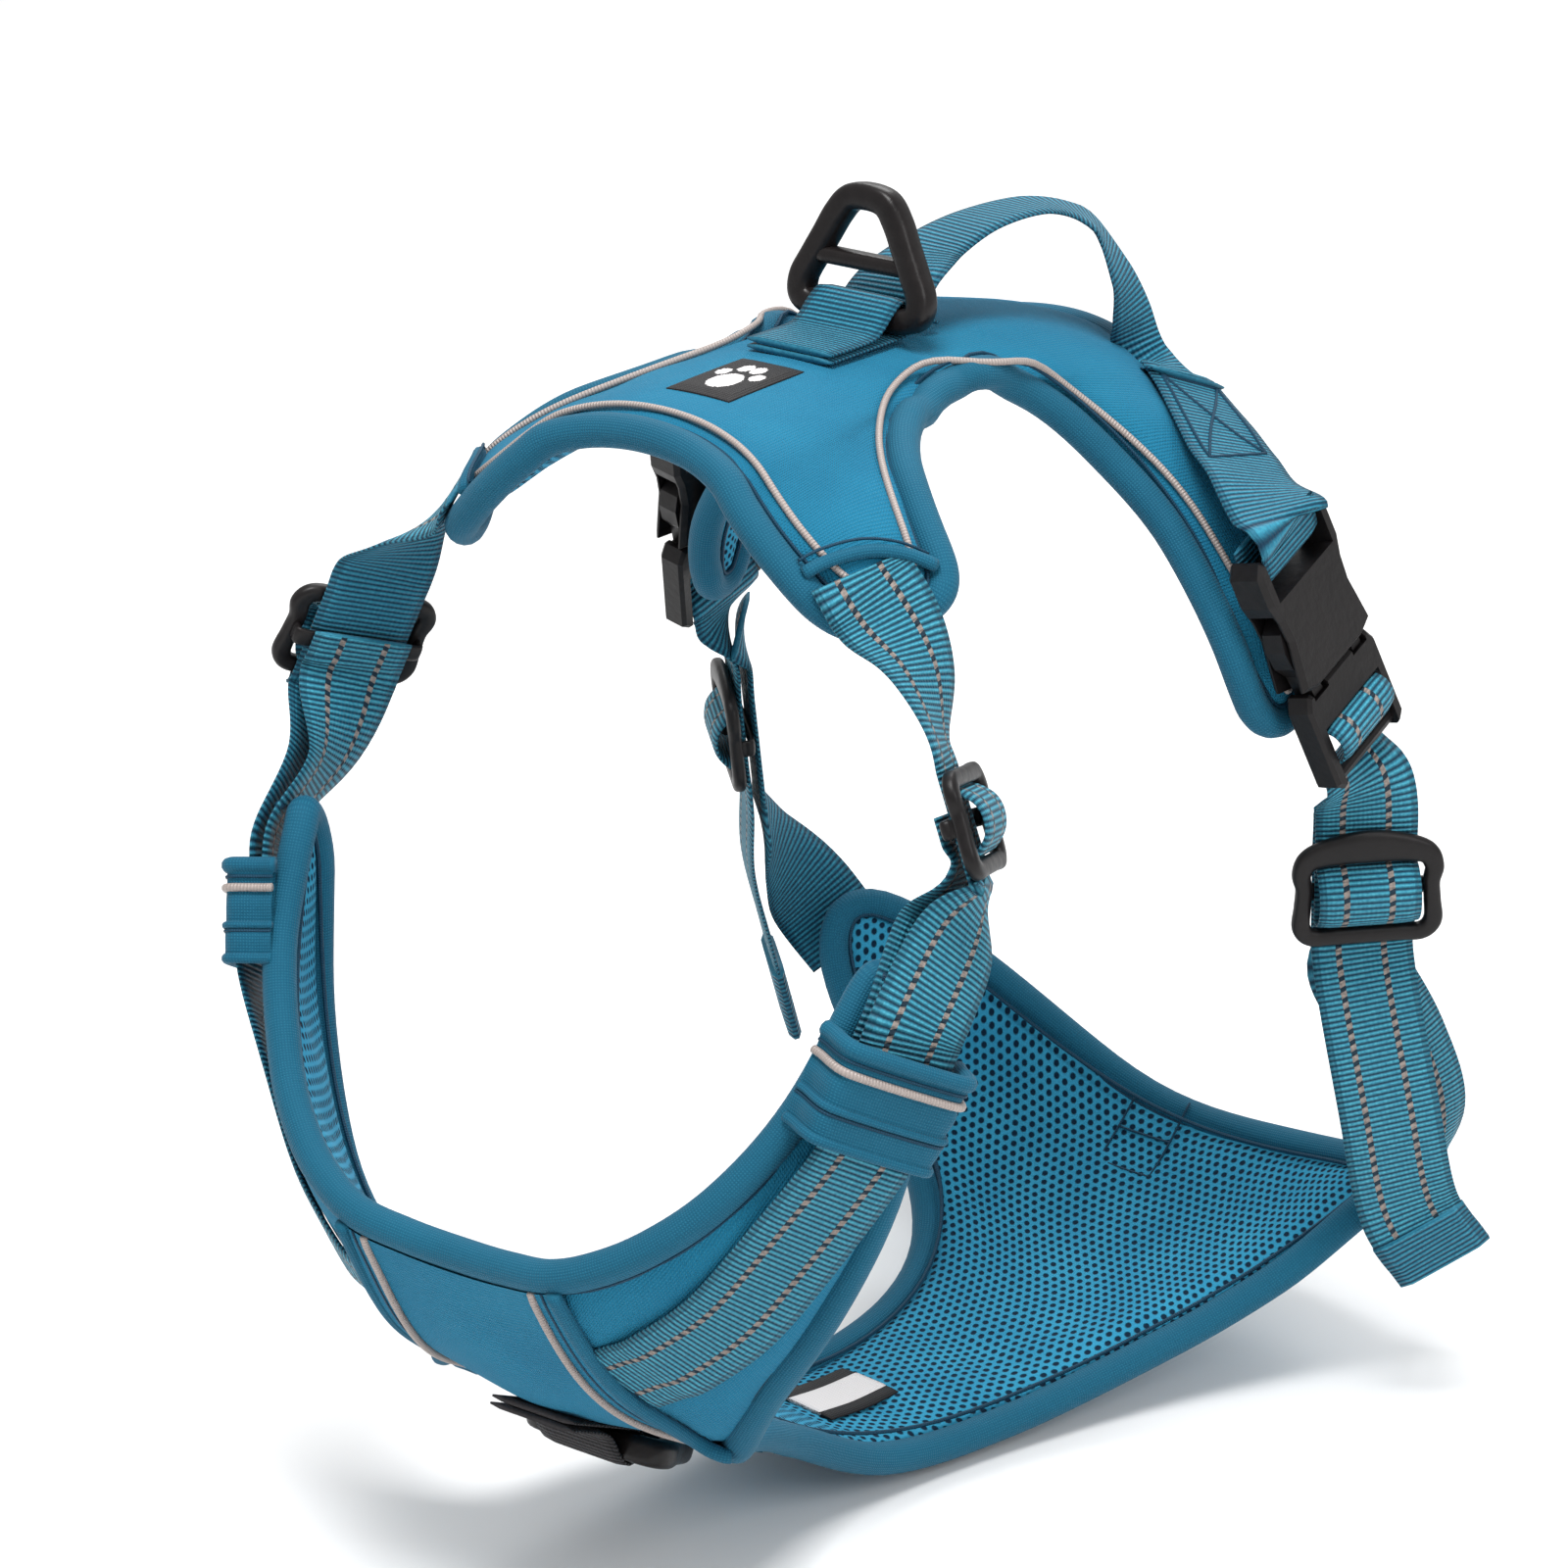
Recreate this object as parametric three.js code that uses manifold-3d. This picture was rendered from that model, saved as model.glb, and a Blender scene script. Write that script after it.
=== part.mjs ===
// A no pull dog harness in its worn shape, held open as if a dog were wearing it.
// Millimetres. +X is the dog's left, +Y runs towards the tail, +Z is up, and the
// origin is the middle of the dog's torso inside the harness.
import * as THREE from 'three';
import { mergeVertices } from 'three/addons/utils/BufferGeometryUtils.js';
import Module from 'manifold-3d';

const wasm = await Module();
wasm.setup();

// ---- driving dimensions ----
const WEBBING_WIDTH = 25;
const WEBBING_THICKNESS = 1.4;
const GAP = 0.35;                 // air left between neighbouring solids
const LAYER_GAP = 0.5;            // the same between a pad's layers
const BINDING_RADIUS = 3.8;       // half the fat bound edge round each pad
const BINDING_INSET = 4.3;        // bound edge's centre line, in from the pad's outline
const LAYER_INSET = 10.6;         // where the pad's layers stop, in from the outline
const CLOTH = 1.2;                // outer cloth and mesh lining
const FOAM = 4.3;
const RELAX_PASSES = 60;          // smoothing passes when a pad's edge is drawn in
const CORNER_MITRE = 0.9;         // cosine of half the turn that makes an edge's corner
const TIP_SPAN = 4;               // most edge steps between the two corners of an arm's tip
const LAYER_STEP = WEBBING_THICKNESS + GAP + 1.65;   // between the two layers of a doubled strap

const BUCKLE_THICKNESS = 10;
const BUCKLE_HALF_LENGTH = 31;
const BAR_RADIUS = 2;
const SLOT_HALF_WIDTH = 13.2;
const PRONG_PIVOT = { x: 9.6, y: -3.2 };
const SOCKET_BAR = 29;            // height of each strap bar in the buckle's frame
const PLUG_BAR = -28.8;

const RING_THICKNESS = 7;
const RING_BAR_RADIUS = 3;
const RING_TOP = [0, 29, 109.6];    // axis of the back ring's bar
const RING_CHEST = [0, -74, -142];  // axis of the chest ring's bar

// ---- materials ----
const paint = (color, roughness, metalness = 0) =>
  new THREE.MeshStandardMaterial({ color, roughness, metalness });
const CANVAS = () => paint(0x2f82ab, 0.85);
const MESH_CLOTH = () => paint(0x2a6f92, 0.9);
const FOAM_FILL = () => paint(0xd8d8d0, 0.95);
const BINDING = () => paint(0x3493bd, 0.7);
const WEBBING = () => paint(0x2c8db8, 0.65);
const BLACK_WEBBING = () => paint(0x1c1b1d, 0.8);
const HARDWARE = () => paint(0x242224, 0.35);
const PATCH = () => paint(0x18181a, 0.6);
const LABEL = () => paint(0xece9ea, 0.7);

// ---- small helpers ----
const vector = (p) => new THREE.Vector3(p[0], p[1], p[2]);
const curve = (points, closed = false) =>
  new THREE.CatmullRomCurve3(points.map(vector), closed, 'catmullrom', 0.5);
const mirror = (p) => [-p[0], p[1], p[2]];
const mix = (a, b, t) => a.map((value, i) => value + (b[i] - value) * t);

function geometryOf(vertices, triangles) {
  const geometry = new THREE.BufferGeometry();
  geometry.setAttribute('position', new THREE.Float32BufferAttribute(vertices.flat(), 3));
  let volume = 0;
  for (const [a, b, c] of triangles) {
    const [p, q, r] = [vertices[a], vertices[b], vertices[c]];
    volume += p[0] * (q[1] * r[2] - q[2] * r[1])
      - p[1] * (q[0] * r[2] - q[2] * r[0])
      + p[2] * (q[0] * r[1] - q[1] * r[0]);
  }
  const facing = volume > 0 ? triangles : triangles.map(([a, b, c]) => [a, c, b]);
  geometry.setIndex(facing.flat());
  return geometry;
}

function toSolid(geometry) {
  const bare = geometry.clone();
  bare.deleteAttribute('normal');
  bare.deleteAttribute('uv');
  const merged = mergeVertices(bare, 1e-4);
  const vertProperties = Float32Array.from(merged.attributes.position.array);
  const triVerts = Uint32Array.from(merged.index.array);
  return new wasm.Manifold(new wasm.Mesh({ numProp: 3, vertProperties, triVerts }));
}

function toGeometry(solid) {
  const mesh = solid.getMesh();
  const geometry = new THREE.BufferGeometry();
  geometry.setAttribute('position', new THREE.BufferAttribute(mesh.vertProperties, 3));
  geometry.setIndex(new THREE.BufferAttribute(mesh.triVerts, 1));
  return geometry;
}

// base with every piece of added joined on and every piece of removed cut out
function combine(base, added, removed) {
  let solid = toSolid(base);
  for (const piece of added) solid = solid.add(toSolid(piece));
  for (const piece of removed) solid = solid.subtract(toSolid(piece));
  return toGeometry(solid);
}

function block(x, y, z) {
  const size = [x, y, z].map((span) => span[1] - span[0]);
  const middle = [x, y, z].map((span) => (span[0] + span[1]) / 2);
  return new THREE.BoxGeometry(...size).translate(...middle);
}

// a rod along X
function rod(radius, halfLength, y, z, sides = 12) {
  const geometry = new THREE.CylinderGeometry(radius, radius, 2 * halfLength, sides);
  return geometry.rotateZ(Math.PI / 2).translate(0, y, z);
}

// an outline given as its right half, from the bottom to the top, extruded along Z
function plate(rightHalf, bottom, top, bevel = 0) {
  const outline = [...rightHalf, ...rightHalf.map(([x, y]) => [-x, y]).reverse()]
    .filter(([x], i, all) => !(x === 0 && i > 0 && all[i - 1][0] === 0));
  const shape = new THREE.Shape(outline.map(([x, y]) => new THREE.Vector2(x, y)));
  const depth = top - bottom - 2 * bevel;
  const geometry = new THREE.ExtrudeGeometry(shape, {
    depth, bevelEnabled: bevel > 0, bevelThickness: bevel, bevelSize: bevel,
    bevelOffset: -bevel, bevelSegments: 1, curveSegments: 6,
  });
  return geometry.translate(0, 0, bottom + bevel);
}

// ---- pads: two smooth sheets, each a list of rows of points from the dog's right to its left ----
// The front sheet's last row and the rear sheet's first row are the leg openings' edges, and
// they are one and the same between the openings.
const mirrored = (half) => half.map((row) => [...row.slice(1).reverse().map(mirror), ...row]);

const BACK_FRONT = mirrored([
  [[0, -56, 102.5], [15, -56, 101], [27, -59, 97], [34, -61, 91], [42, -62, 83], [49, -61, 75],
    [55, -59, 68], [60, -54, 62]],
  [[0, -15, 103.5], [15, -15, 102.5], [29, -18, 98.5], [36, -28, 94], [45, -38, 87], [55, -42, 79],
    [62, -43, 70], [66, -43, 60]],
  [[0, 22, 103.5], [16, 22, 103], [32, 22, 101], [36, 3, 99], [52, -15, 92], [66, -23, 81],
    [73, -26, 72], [72, -32, 63]],
]);
const BACK_REAR = mirrored([
  [[0, 22, 103.5], [16, 22, 103], [32, 22, 101], [36, 44, 94], [48, 61, 77], [66, 65, 57],
    [81, 64, 34], [88, 70, 10]],
  [[0, 72, 101], [17, 72, 100], [34, 72, 94.5], [43, 76, 87], [54, 82, 77], [72, 83, 58],
    [85, 81, 34], [90, 82, 7]],
  [[0, 118, 91], [17, 114, 90], [33, 107, 86], [46, 101, 80], [58, 99, 74], [76, 97, 60],
    [87, 96, 35], [91, 93, 11]],
]);

const CHEST = mirrored([
  [[0, -122, -76], [15, -123, -75], [28, -124, -73], [39, -122, -69], [51, -117, -62],
    [64, -108, -50], [77, -94, -28], [82.5, -78, 4]],
  [[0, -92, -122], [15, -92, -120], [31, -93, -115], [42, -98, -104], [56, -97, -91],
    [70, -93, -72], [84, -82, -43], [87, -71, -2]],
  [[0, -36, -147], [15, -37, -147], [31, -39, -148], [42, -69, -136], [58, -75, -116],
    [74, -76, -91], [87, -66, -58], [90, -61, -9]],
]);
// the belly panel hangs unevenly: its left arm lies lower than its right one
const BELLY = [
  [[-31, -39, -148], [-15, -37, -147], [0, -36, -147], [15, -37, -147], [31, -39, -148]],
  [[-23, 8, -166], [-11, 5, -167.5], [2, 3, -168], [16, 2, -169], [32, 2, -169]],
  [[-19, 50, -168], [-7, 48, -170], [6, 46, -171], [20, 43, -172], [42, 42, -171]],
  [[-27, 94, -161], [-11, 91, -164], [6, 88, -166], [29, 87, -166], [58, 85, -161]],
  [[-54, 117, -140], [-29, 120, -152], [0, 119, -158], [38, 116, -157], [74, 109, -148]],
  [[-84, 112, -100], [-46, 138, -127], [0, 142, -145], [46, 138, -144], [89, 125, -131]],
  [[-85, 136, -74], [-44, 153, -103], [0, 158, -131], [50, 155, -128], [98, 143, -118]],
];

// a smooth sheet of points through rows of points, as [along][across]
function sheet(rows, along, across) {
  const rails = rows.map((row) => curve(row));
  return [...Array(along + 1).keys()].map((i) => {
    const rib = curve(rails.map((rail) => rail.getPoint(i / along).toArray()));
    return [...Array(across + 1).keys()].map((j) => rib.getPoint(j / across));
  });
}

// a pad's whole surface: points, quads, normals and the loop of its edge; the rear sheet's first
// row is welded to the front sheet's last row from one column to another
function padSurface(front, rear, weld) {
  const points = [];
  const quads = [];
  const number = (column) => column.map((point) => points.push(point) - 1);
  const [frontGrid, rearGrid] = [front, rear].map((grid) => grid.map(number));
  for (let i = weld.from; i <= weld.to; i += 1) {
    const column = frontGrid[i + weld.ahead];
    rearGrid[i][0] = column[column.length - 1];
  }
  for (const grid of [frontGrid, rearGrid]) {
    for (let i = 0; i + 1 < grid.length; i += 1) {
      for (let j = 0; j + 1 < grid[i].length; j += 1) {
        quads.push([grid[i][j], grid[i + 1][j], grid[i + 1][j + 1], grid[i][j + 1]]);
      }
    }
  }
  return { points, quads, normals: normalsOf(points, quads), loop: edgeLoop(quads) };
}

// the same surface with its edge drawn in by distance and its inside points following smoothly
function inset(surface, distance) {
  const { points, quads, normals, loop } = surface;
  const shift = points.map(() => new THREE.Vector3());
  const corners = [];
  loop.forEach((index, k) => {
    const before = points[loop[(k + loop.length - 1) % loop.length]];
    const after = points[loop[(k + 1) % loop.length]];
    const inward = [[before, points[index]], [points[index], after]].map(([from, to]) =>
      normals[index].clone().cross(to.clone().sub(from)).normalize());
    const bisector = inward[0].clone().add(inward[1]).normalize();
    const mitre = Math.max(bisector.dot(inward[0]), 0.6);
    shift[index].copy(bisector).multiplyScalar(distance / mitre);
    if (mitre < CORNER_MITRE) corners.push(k);
  });
  corners.forEach((start, i) => {
    const span = (corners[(i + 1) % corners.length] - start + loop.length) % loop.length;
    if (span > TIP_SPAN) return;
    const end = shift[loop[(start + span) % loop.length]];
    for (let k = 1; k < span; k += 1) {
      shift[loop[(start + k) % loop.length]].copy(shift[loop[start]]).lerp(end, k / span);
    }
  });
  const neighbours = points.map(() => new Set());
  for (const quad of quads) {
    quad.forEach((a, k) => neighbours[a].add(quad[(k + 1) % 4]).add(quad[(k + 3) % 4]));
  }
  const onEdge = new Set(loop);
  const inside = [...new Set(quads.flat())].filter((index) => !onEdge.has(index));
  for (let pass = 0; pass < RELAX_PASSES; pass += 1) {
    for (const index of inside) {
      const sum = new THREE.Vector3();
      for (const other of neighbours[index]) sum.add(shift[other]);
      shift[index].copy(sum.divideScalar(neighbours[index].size));
    }
  }
  const moved = points.map((point, index) =>
    point.clone().add(shift[index].projectOnPlane(normals[index])));
  return { ...surface, points: moved };
}

// the nearest place on a surface to a point, and the direction its outer side faces
function nearest(surface, side, point) {
  const target = vector(point);
  let best = { distance: Infinity };
  for (const quad of surface.quads) {
    const [a, b, c, d] = quad.map((index) => surface.points[index]);
    for (const corners of [[a, b, c], [a, c, d]]) {
      const triangle = new THREE.Triangle(...corners);
      const place = triangle.closestPointToPoint(target, new THREE.Vector3());
      const distance = place.distanceTo(target);
      if (distance < best.distance) {
        const out = triangle.getNormal(new THREE.Vector3()).multiplyScalar(side);
        best = { distance, place, out };
      }
    }
  }
  return best;
}

// points laid on a pad and lifted off it, with the direction across a strap sewn along them
function layOn(surface, side, stops) {
  const seats = stops.map(([x, y, z, lift]) => {
    const { place, out } = nearest(surface, side, [x, y, z]);
    return { at: place.addScaledVector(out, lift), out };
  });
  return seats.map(({ at, out }, i) => {
    const before = seats[Math.max(i - 1, 0)].at;
    const after = seats[Math.min(i + 1, seats.length - 1)].at;
    const across = out.clone().cross(after.clone().sub(before)).normalize();
    return { at: at.toArray(), across: across.toArray() };
  });
}

function normalsOf(points, quads) {
  const normals = points.map(() => new THREE.Vector3());
  for (const quad of quads) {
    const [a, b, c, d] = quad.map((index) => points[index]);
    const normal = c.clone().sub(a).cross(d.clone().sub(b));
    for (const index of quad) normals[index].add(normal);
  }
  return normals.map((normal) => normal.normalize());
}

// the single chain of edges that only one quad uses
function edgeLoop(quads) {
  const edges = new Set();
  for (const quad of quads) quad.forEach((a, k) => edges.add(`${a} ${quad[(k + 1) % 4]}`));
  const next = new Map();
  for (const edge of edges) {
    const [a, b] = edge.split(' ').map(Number);
    if (!edges.has(`${b} ${a}`)) next.set(a, b);
  }
  const loop = [next.keys().next().value];
  while (next.get(loop[loop.length - 1]) !== loop[0]) loop.push(next.get(loop[loop.length - 1]));
  return loop;
}

// the part of a pad between two offsets along its outward normal (side is +1 or -1)
function padLayer(surface, side, from, to) {
  const [low, high] = side > 0 ? [from, to] : [-to, -from];
  const used = [...new Set(surface.quads.flat())];
  const place = new Map(used.map((index, k) => [index, k]));
  const shifted = (index, by) =>
    surface.points[index].clone().addScaledVector(surface.normals[index], by).toArray();
  const vertices = [...used.map((i) => shifted(i, high)), ...used.map((i) => shifted(i, low))];
  const lower = used.length;
  const triangles = [];
  for (const quad of surface.quads) {
    const [a, b, c, d] = quad.map((index) => place.get(index));
    triangles.push([a, b, c], [a, c, d]);
    triangles.push([lower + a, lower + c, lower + b], [lower + a, lower + d, lower + c]);
  }
  surface.loop.forEach((index, k) => {
    const a = place.get(index);
    const b = place.get(surface.loop[(k + 1) % surface.loop.length]);
    triangles.push([a, lower + a, lower + b], [a, lower + b, b]);
  });
  return geometryOf(vertices, triangles);
}

// the bound edge: a fat closed tube along the pad's edge loop
function padBinding(surface, side, depth) {
  const { points, normals, loop } = surface;
  const centre = loop.map((index) =>
    points[index].clone().addScaledVector(normals[index], side * depth));
  const count = loop.length;
  const sides = 6;
  const vertices = [];
  const triangles = [];
  loop.forEach((index, i) => {
    const tangent = centre[(i + 1) % count].clone().sub(centre[(i + count - 1) % count]).normalize();
    const outward = tangent.cross(normals[index]).normalize();
    for (let k = 0; k < sides; k += 1) {
      const angle = (2 * Math.PI * (k + 0.5)) / sides;
      const spoke = centre[i].clone()
        .addScaledVector(outward, BINDING_RADIUS * Math.cos(angle))
        .addScaledVector(normals[index], BINDING_RADIUS * Math.sin(angle));
      vertices.push(spoke.toArray());
    }
  });
  for (let i = 0; i < count; i += 1) {
    for (let k = 0; k < sides; k += 1) {
      const a = i * sides + k;
      const b = i * sides + ((k + 1) % sides);
      const c = ((i + 1) % count) * sides + k;
      const d = ((i + 1) % count) * sides + ((k + 1) % sides);
      triangles.push([a, b, d], [a, d, c]);
    }
  }
  return geometryOf(vertices, triangles);
}

// ---- webbing: a flat ribbon along points, its width lying along the matching directions ----
function ribbon(points, across, options = {}) {
  const { width = WEBBING_WIDTH, thickness = WEBBING_THICKNESS, per = 3 } = options;
  const path = curve(points);
  const lean = curve(across);
  const steps = (points.length - 1) * per;
  const vertices = [];
  for (let i = 0; i <= steps; i += 1) {
    const at = i / steps;
    const middle = path.getPoint(at);
    const tangent = path.getPoint(Math.min(at + 1e-3, 1)).sub(path.getPoint(Math.max(at - 1e-3, 0)));
    tangent.normalize();
    const wide = lean.getPoint(at);
    wide.addScaledVector(tangent, -wide.dot(tangent)).normalize();
    const normal = tangent.clone().cross(wide);
    for (const [u, v] of [[-1, -1], [1, -1], [1, 1], [-1, 1]]) {
      const corner = middle.clone()
        .addScaledVector(wide, (u * width) / 2)
        .addScaledVector(normal, (v * thickness) / 2);
      vertices.push(corner.toArray());
    }
  }
  const triangles = [[0, 2, 1], [0, 3, 2]];
  for (let i = 0; i < steps; i += 1) {
    for (let k = 0; k < 4; k += 1) {
      const a = 4 * i + k;
      const b = 4 * i + ((k + 1) % 4);
      triangles.push([a, b, b + 4], [a, b + 4, a + 4]);
    }
  }
  const last = 4 * steps;
  triangles.push([last, last + 1, last + 2], [last, last + 2, last + 3]);
  return geometryOf(vertices, triangles);
}

// a ribbon through stops, each a place and the direction across the strap there
const strap = (stops, options) =>
  ribbon(stops.map(({ at }) => at), stops.map(({ across }) => across), options);

// ---- a local frame: x across the strap, y up along it, z outward ----
function frameAt(origin, across, up) {
  const y = vector(up).normalize();
  const x = vector(across);
  x.addScaledVector(y, -x.dot(y)).normalize();
  const z = x.clone().cross(y);
  const matrix = new THREE.Matrix4().makeBasis(x, y, z).setPosition(vector(origin));
  const world = (px, py, pz) => new THREE.Vector3(px, py, pz).applyMatrix4(matrix).toArray();
  return { matrix, world, x: x.toArray(), y: y.toArray(), z: z.toArray() };
}

// a frame standing on a pad, its y leaning along up and its z pointing off the pad
function frameOn(surface, side, point, up) {
  const { place, out } = nearest(surface, side, point);
  const along = vector(up).addScaledVector(out, -vector(up).dot(out)).normalize();
  return frameAt(place.toArray(), along.clone().cross(out).toArray(), along.toArray());
}

const harness = new THREE.Group();

function addPart(name, geometry, material, frame = null) {
  const mesh = new THREE.Mesh(geometry, material);
  mesh.name = name;
  if (frame) {
    frame.matrix.decompose(mesh.position, mesh.quaternion, mesh.scale);
  }
  harness.add(mesh);
  return mesh;
}

// ---- hardware, each in its local frame ----

// leash ring: a rounded triangle with a cross bar, pivoting on its straight bar at the origin
function leashRing(height) {
  const outer = [[0, -3.6], [13, -3.6], [18, -2.2], [20.5, 2], [19.5, 8], [11.5, height - 8],
    [6.5, height - 3.5], [0, height - 1.5]];
  const body = plate(outer, -RING_THICKNESS / 2, RING_THICKNESS / 2, 1.4);
  const window = plate([[0, 14], [9.4, 14], [10.2, 15.6], [6.2, height - 11], [0, height - 8.2]], -9, 9);
  const slot = plate([[0, RING_BAR_RADIUS], [13.6, RING_BAR_RADIUS], [13.6, 9], [12.4, 10.2],
    [0, 10.2]], -9, 9);
  const belowBar = block([-13.6, 13.6], [-9, 0], [-9, 9]);
  const bar = rod(RING_BAR_RADIUS, 14.5, 0, 0, 12);
  const barSpace = block([-13.6, 13.6], [-1, 4], [-9, 9]);
  return combine(combine(body, [], [window, slot, belowBar, barSpace]), [bar], []);
}

// slide adjuster: two end bars in front of the strap and a middle bar behind its front layer
function slideAdjuster(crown) {
  const front = WEBBING_THICKNESS / 2 + GAP;
  const behind = -front - 1.4;
  const height = crown ? 15 : 12;
  const outline = crown
    ? [[0, -12.5], [14, -12.5], [17.5, -10], [18, -4], [16.6, 0], [17.6, 6], [17, 10], [10, 14], [0, 15.5]]
    : [[0, -12], [14, -12], [17, -10.5], [17.4, 0], [17, 10.5], [14, 12], [0, 12]];
  const body = plate(outline, behind, front + 3.2, 0.8);
  const tunnel = block([-SLOT_HALF_WIDTH, SLOT_HALF_WIDTH], [-20, 20], [-9, front]);
  const mouth = block([-SLOT_HALF_WIDTH, SLOT_HALF_WIDTH], [-8.5, height - 6], [-9, 9]);
  const middle = block([-SLOT_HALF_WIDTH - 1, SLOT_HALF_WIDTH + 1], [-2.4, 2.4], [behind, -front]);
  return combine(combine(body, [], [tunnel, mouth]), [middle], []);
}

// buckle socket: two plates joined at the top, open at the sides for the prongs
function buckleSocket() {
  const outline = [[0, -4], [11, -4], [16.5, -2], [15.4, 5], [14.4, 11], [15, 17], [16.6, 22],
    [16.6, 30], [14, 33], [0, 33]];
  const body = plate(outline, -BUCKLE_THICKNESS / 2, BUCKLE_THICKNESS / 2, 1.2);
  const cavity = block([-30, 30], [-6, 19], [-3.3, 3.3]);
  const slot = block([-SLOT_HALF_WIDTH, SLOT_HALF_WIDTH], [21.5, 27], [-9, 9]);
  const barSpace = block([-SLOT_HALF_WIDTH, SLOT_HALF_WIDTH], [26, 40], [-9, 9]);
  const bar = rod(BAR_RADIUS, SLOT_HALF_WIDTH + 1, SOCKET_BAR, 0);
  return combine(combine(body, [], [cavity, slot, barSpace]), [bar], []);
}

// buckle plug without its prongs: a guide tongue, a shoulder and a ladder bar for the strap
function bucklePlug() {
  const outline = [[0, -BUCKLE_HALF_LENGTH], [14, -BUCKLE_HALF_LENGTH], [16.5, -29], [16.5, -8],
    [14.5, -4.6], [0, -4.6]];
  const body = plate(outline, -3.6, 3.6, 0.9);
  const slot = block([-SLOT_HALF_WIDTH, SLOT_HALF_WIDTH], [-26.6, -14.5], [-9, 9]);
  const tongue = block([-3, 3], [-6, 16], [-2.6, 2.6]);
  const notch = block([-1, 1], [3, 11], [-9, 9]);
  const barSpace = block([-SLOT_HALF_WIDTH, SLOT_HALF_WIDTH], [-40, -25], [-9, 9]);
  const bar = rod(BAR_RADIUS, SLOT_HALF_WIDTH + 1, PLUG_BAR, 0);
  const pivots = [-1, 1].map((side) =>
    block([side * PRONG_PIVOT.x - 3.4, side * PRONG_PIVOT.x + 3.4], [-6.6, -4], [-9, 9]));
  return combine(combine(body, [tongue], [slot, notch, barSpace, ...pivots]), [bar], []);
}

// one prong: a springy arm with a squeeze pad that stands out at the buckle's side
function buckleProng(side) {
  const outline = [[7.6, -6.2], [11.6, -6.2], [12.4, 0], [15.2, 4], [15.9, 9], [14.8, 13.5],
    [10.4, 16], [7.4, 15], [7.2, 12], [9.4, 8], [8.6, 2]];
  const shape = new THREE.Shape(outline.map(([x, y]) => new THREE.Vector2(side * x, y)));
  return new THREE.ExtrudeGeometry(shape, { depth: 5.4, bevelEnabled: false }).translate(0, 0, -2.7);
}

// ---- pads ----
const BACK = padSurface(sheet(BACK_FRONT, 28, 4), sheet(BACK_REAR, 28, 4),
  { from: 10, to: 18, ahead: 0 });
const LOWER = padSurface(sheet(CHEST, 28, 4), sheet(BELLY, 8, 12), { from: 0, to: 8, ahead: 10 });

function addPad(prefix, whole, side, outerFace) {
  const layers = inset(whole, LAYER_INSET);
  const edge = inset(whole, BINDING_INSET);
  const foamTop = outerFace - CLOTH - LAYER_GAP;
  const liningTop = foamTop - FOAM - LAYER_GAP;
  const middle = (outerFace + liningTop - CLOTH) / 2;
  addPart(`${prefix}_cover`, padLayer(layers, side, outerFace - CLOTH, outerFace), CANVAS());
  addPart(`${prefix}_foam`, padLayer(layers, side, foamTop - FOAM, foamTop), FOAM_FILL());
  addPart(`${prefix}_lining`, padLayer(layers, side, liningTop - CLOTH, liningTop), MESH_CLOTH());
  addPart(`${prefix}_binding`, padBinding(edge, side, middle), BINDING());
}

addPad('back_pad', BACK, 1, 0);
addPad('chest_pad', LOWER, -1, 4);

// ---- rings and their webbing tabs ----
const WRAP = RING_BAR_RADIUS + GAP + 0.2 + WEBBING_THICKNESS / 2;

// a tab sewn flat on a pad, led round a ring's bar and sewn back on top of itself; the frame's
// origin is the bar, its y runs from the tab to the bar and its z points off the pad
function ringTab(frame, length) {
  const doubled = WEBBING_THICKNESS + GAP - WRAP;
  const path = [[-length, -WRAP], [-8, -WRAP], [0, -WRAP], [0.72 * WRAP, -0.72 * WRAP], [WRAP, 0],
    [0.72 * WRAP, 0.72 * WRAP], [0, WRAP], [-3.8, 2.2], [-7.6, -0.9], [-12, doubled + 0.1],
    [-length, doubled + 0.1]];
  return strap(path.map(([y, z]) => ({ at: frame.world(0, y, z), across: frame.x })), { per: 2 });
}

addPart('leash_ring', leashRing(32), HARDWARE(), frameAt(RING_TOP, [1, 0, 0], [0, 0.14, 0.99]));
addPart('ring_tab', ringTab(frameAt(RING_TOP, [1, 0, 0], [0, 1, 0]), 27), WEBBING());

const CHEST_SLOPE = [0, 0.91, -0.41];
const chestRingFrame = frameAt(RING_CHEST, [-1, 0, 0], CHEST_SLOPE);
addPart('chest_ring', leashRing(34), HARDWARE(), chestRingFrame);
addPart('chest_ring_tab', ringTab(chestRingFrame, 25), BLACK_WEBBING());

// ---- sewn-on patch, chest overlay, care label and carrying handle ----
const patchStops = layOn(BACK, 1, [[0, -32, 104, 1.1], [0, -19, 104, 1.1], [0, -6, 104, 1.1]]);
addPart('back_patch', strap(patchStops, { width: 20, thickness: 1, per: 1 }), PATCH());

const labelStops = layOn(LOWER, -1, [[3, 3, -165, -4.7], [3, 17, -168, -4.7], [3, 31, -169, -4.7]]);
addPart('care_label', strap(labelStops, { width: 17, thickness: 0.6, per: 1 }), LABEL());

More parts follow.
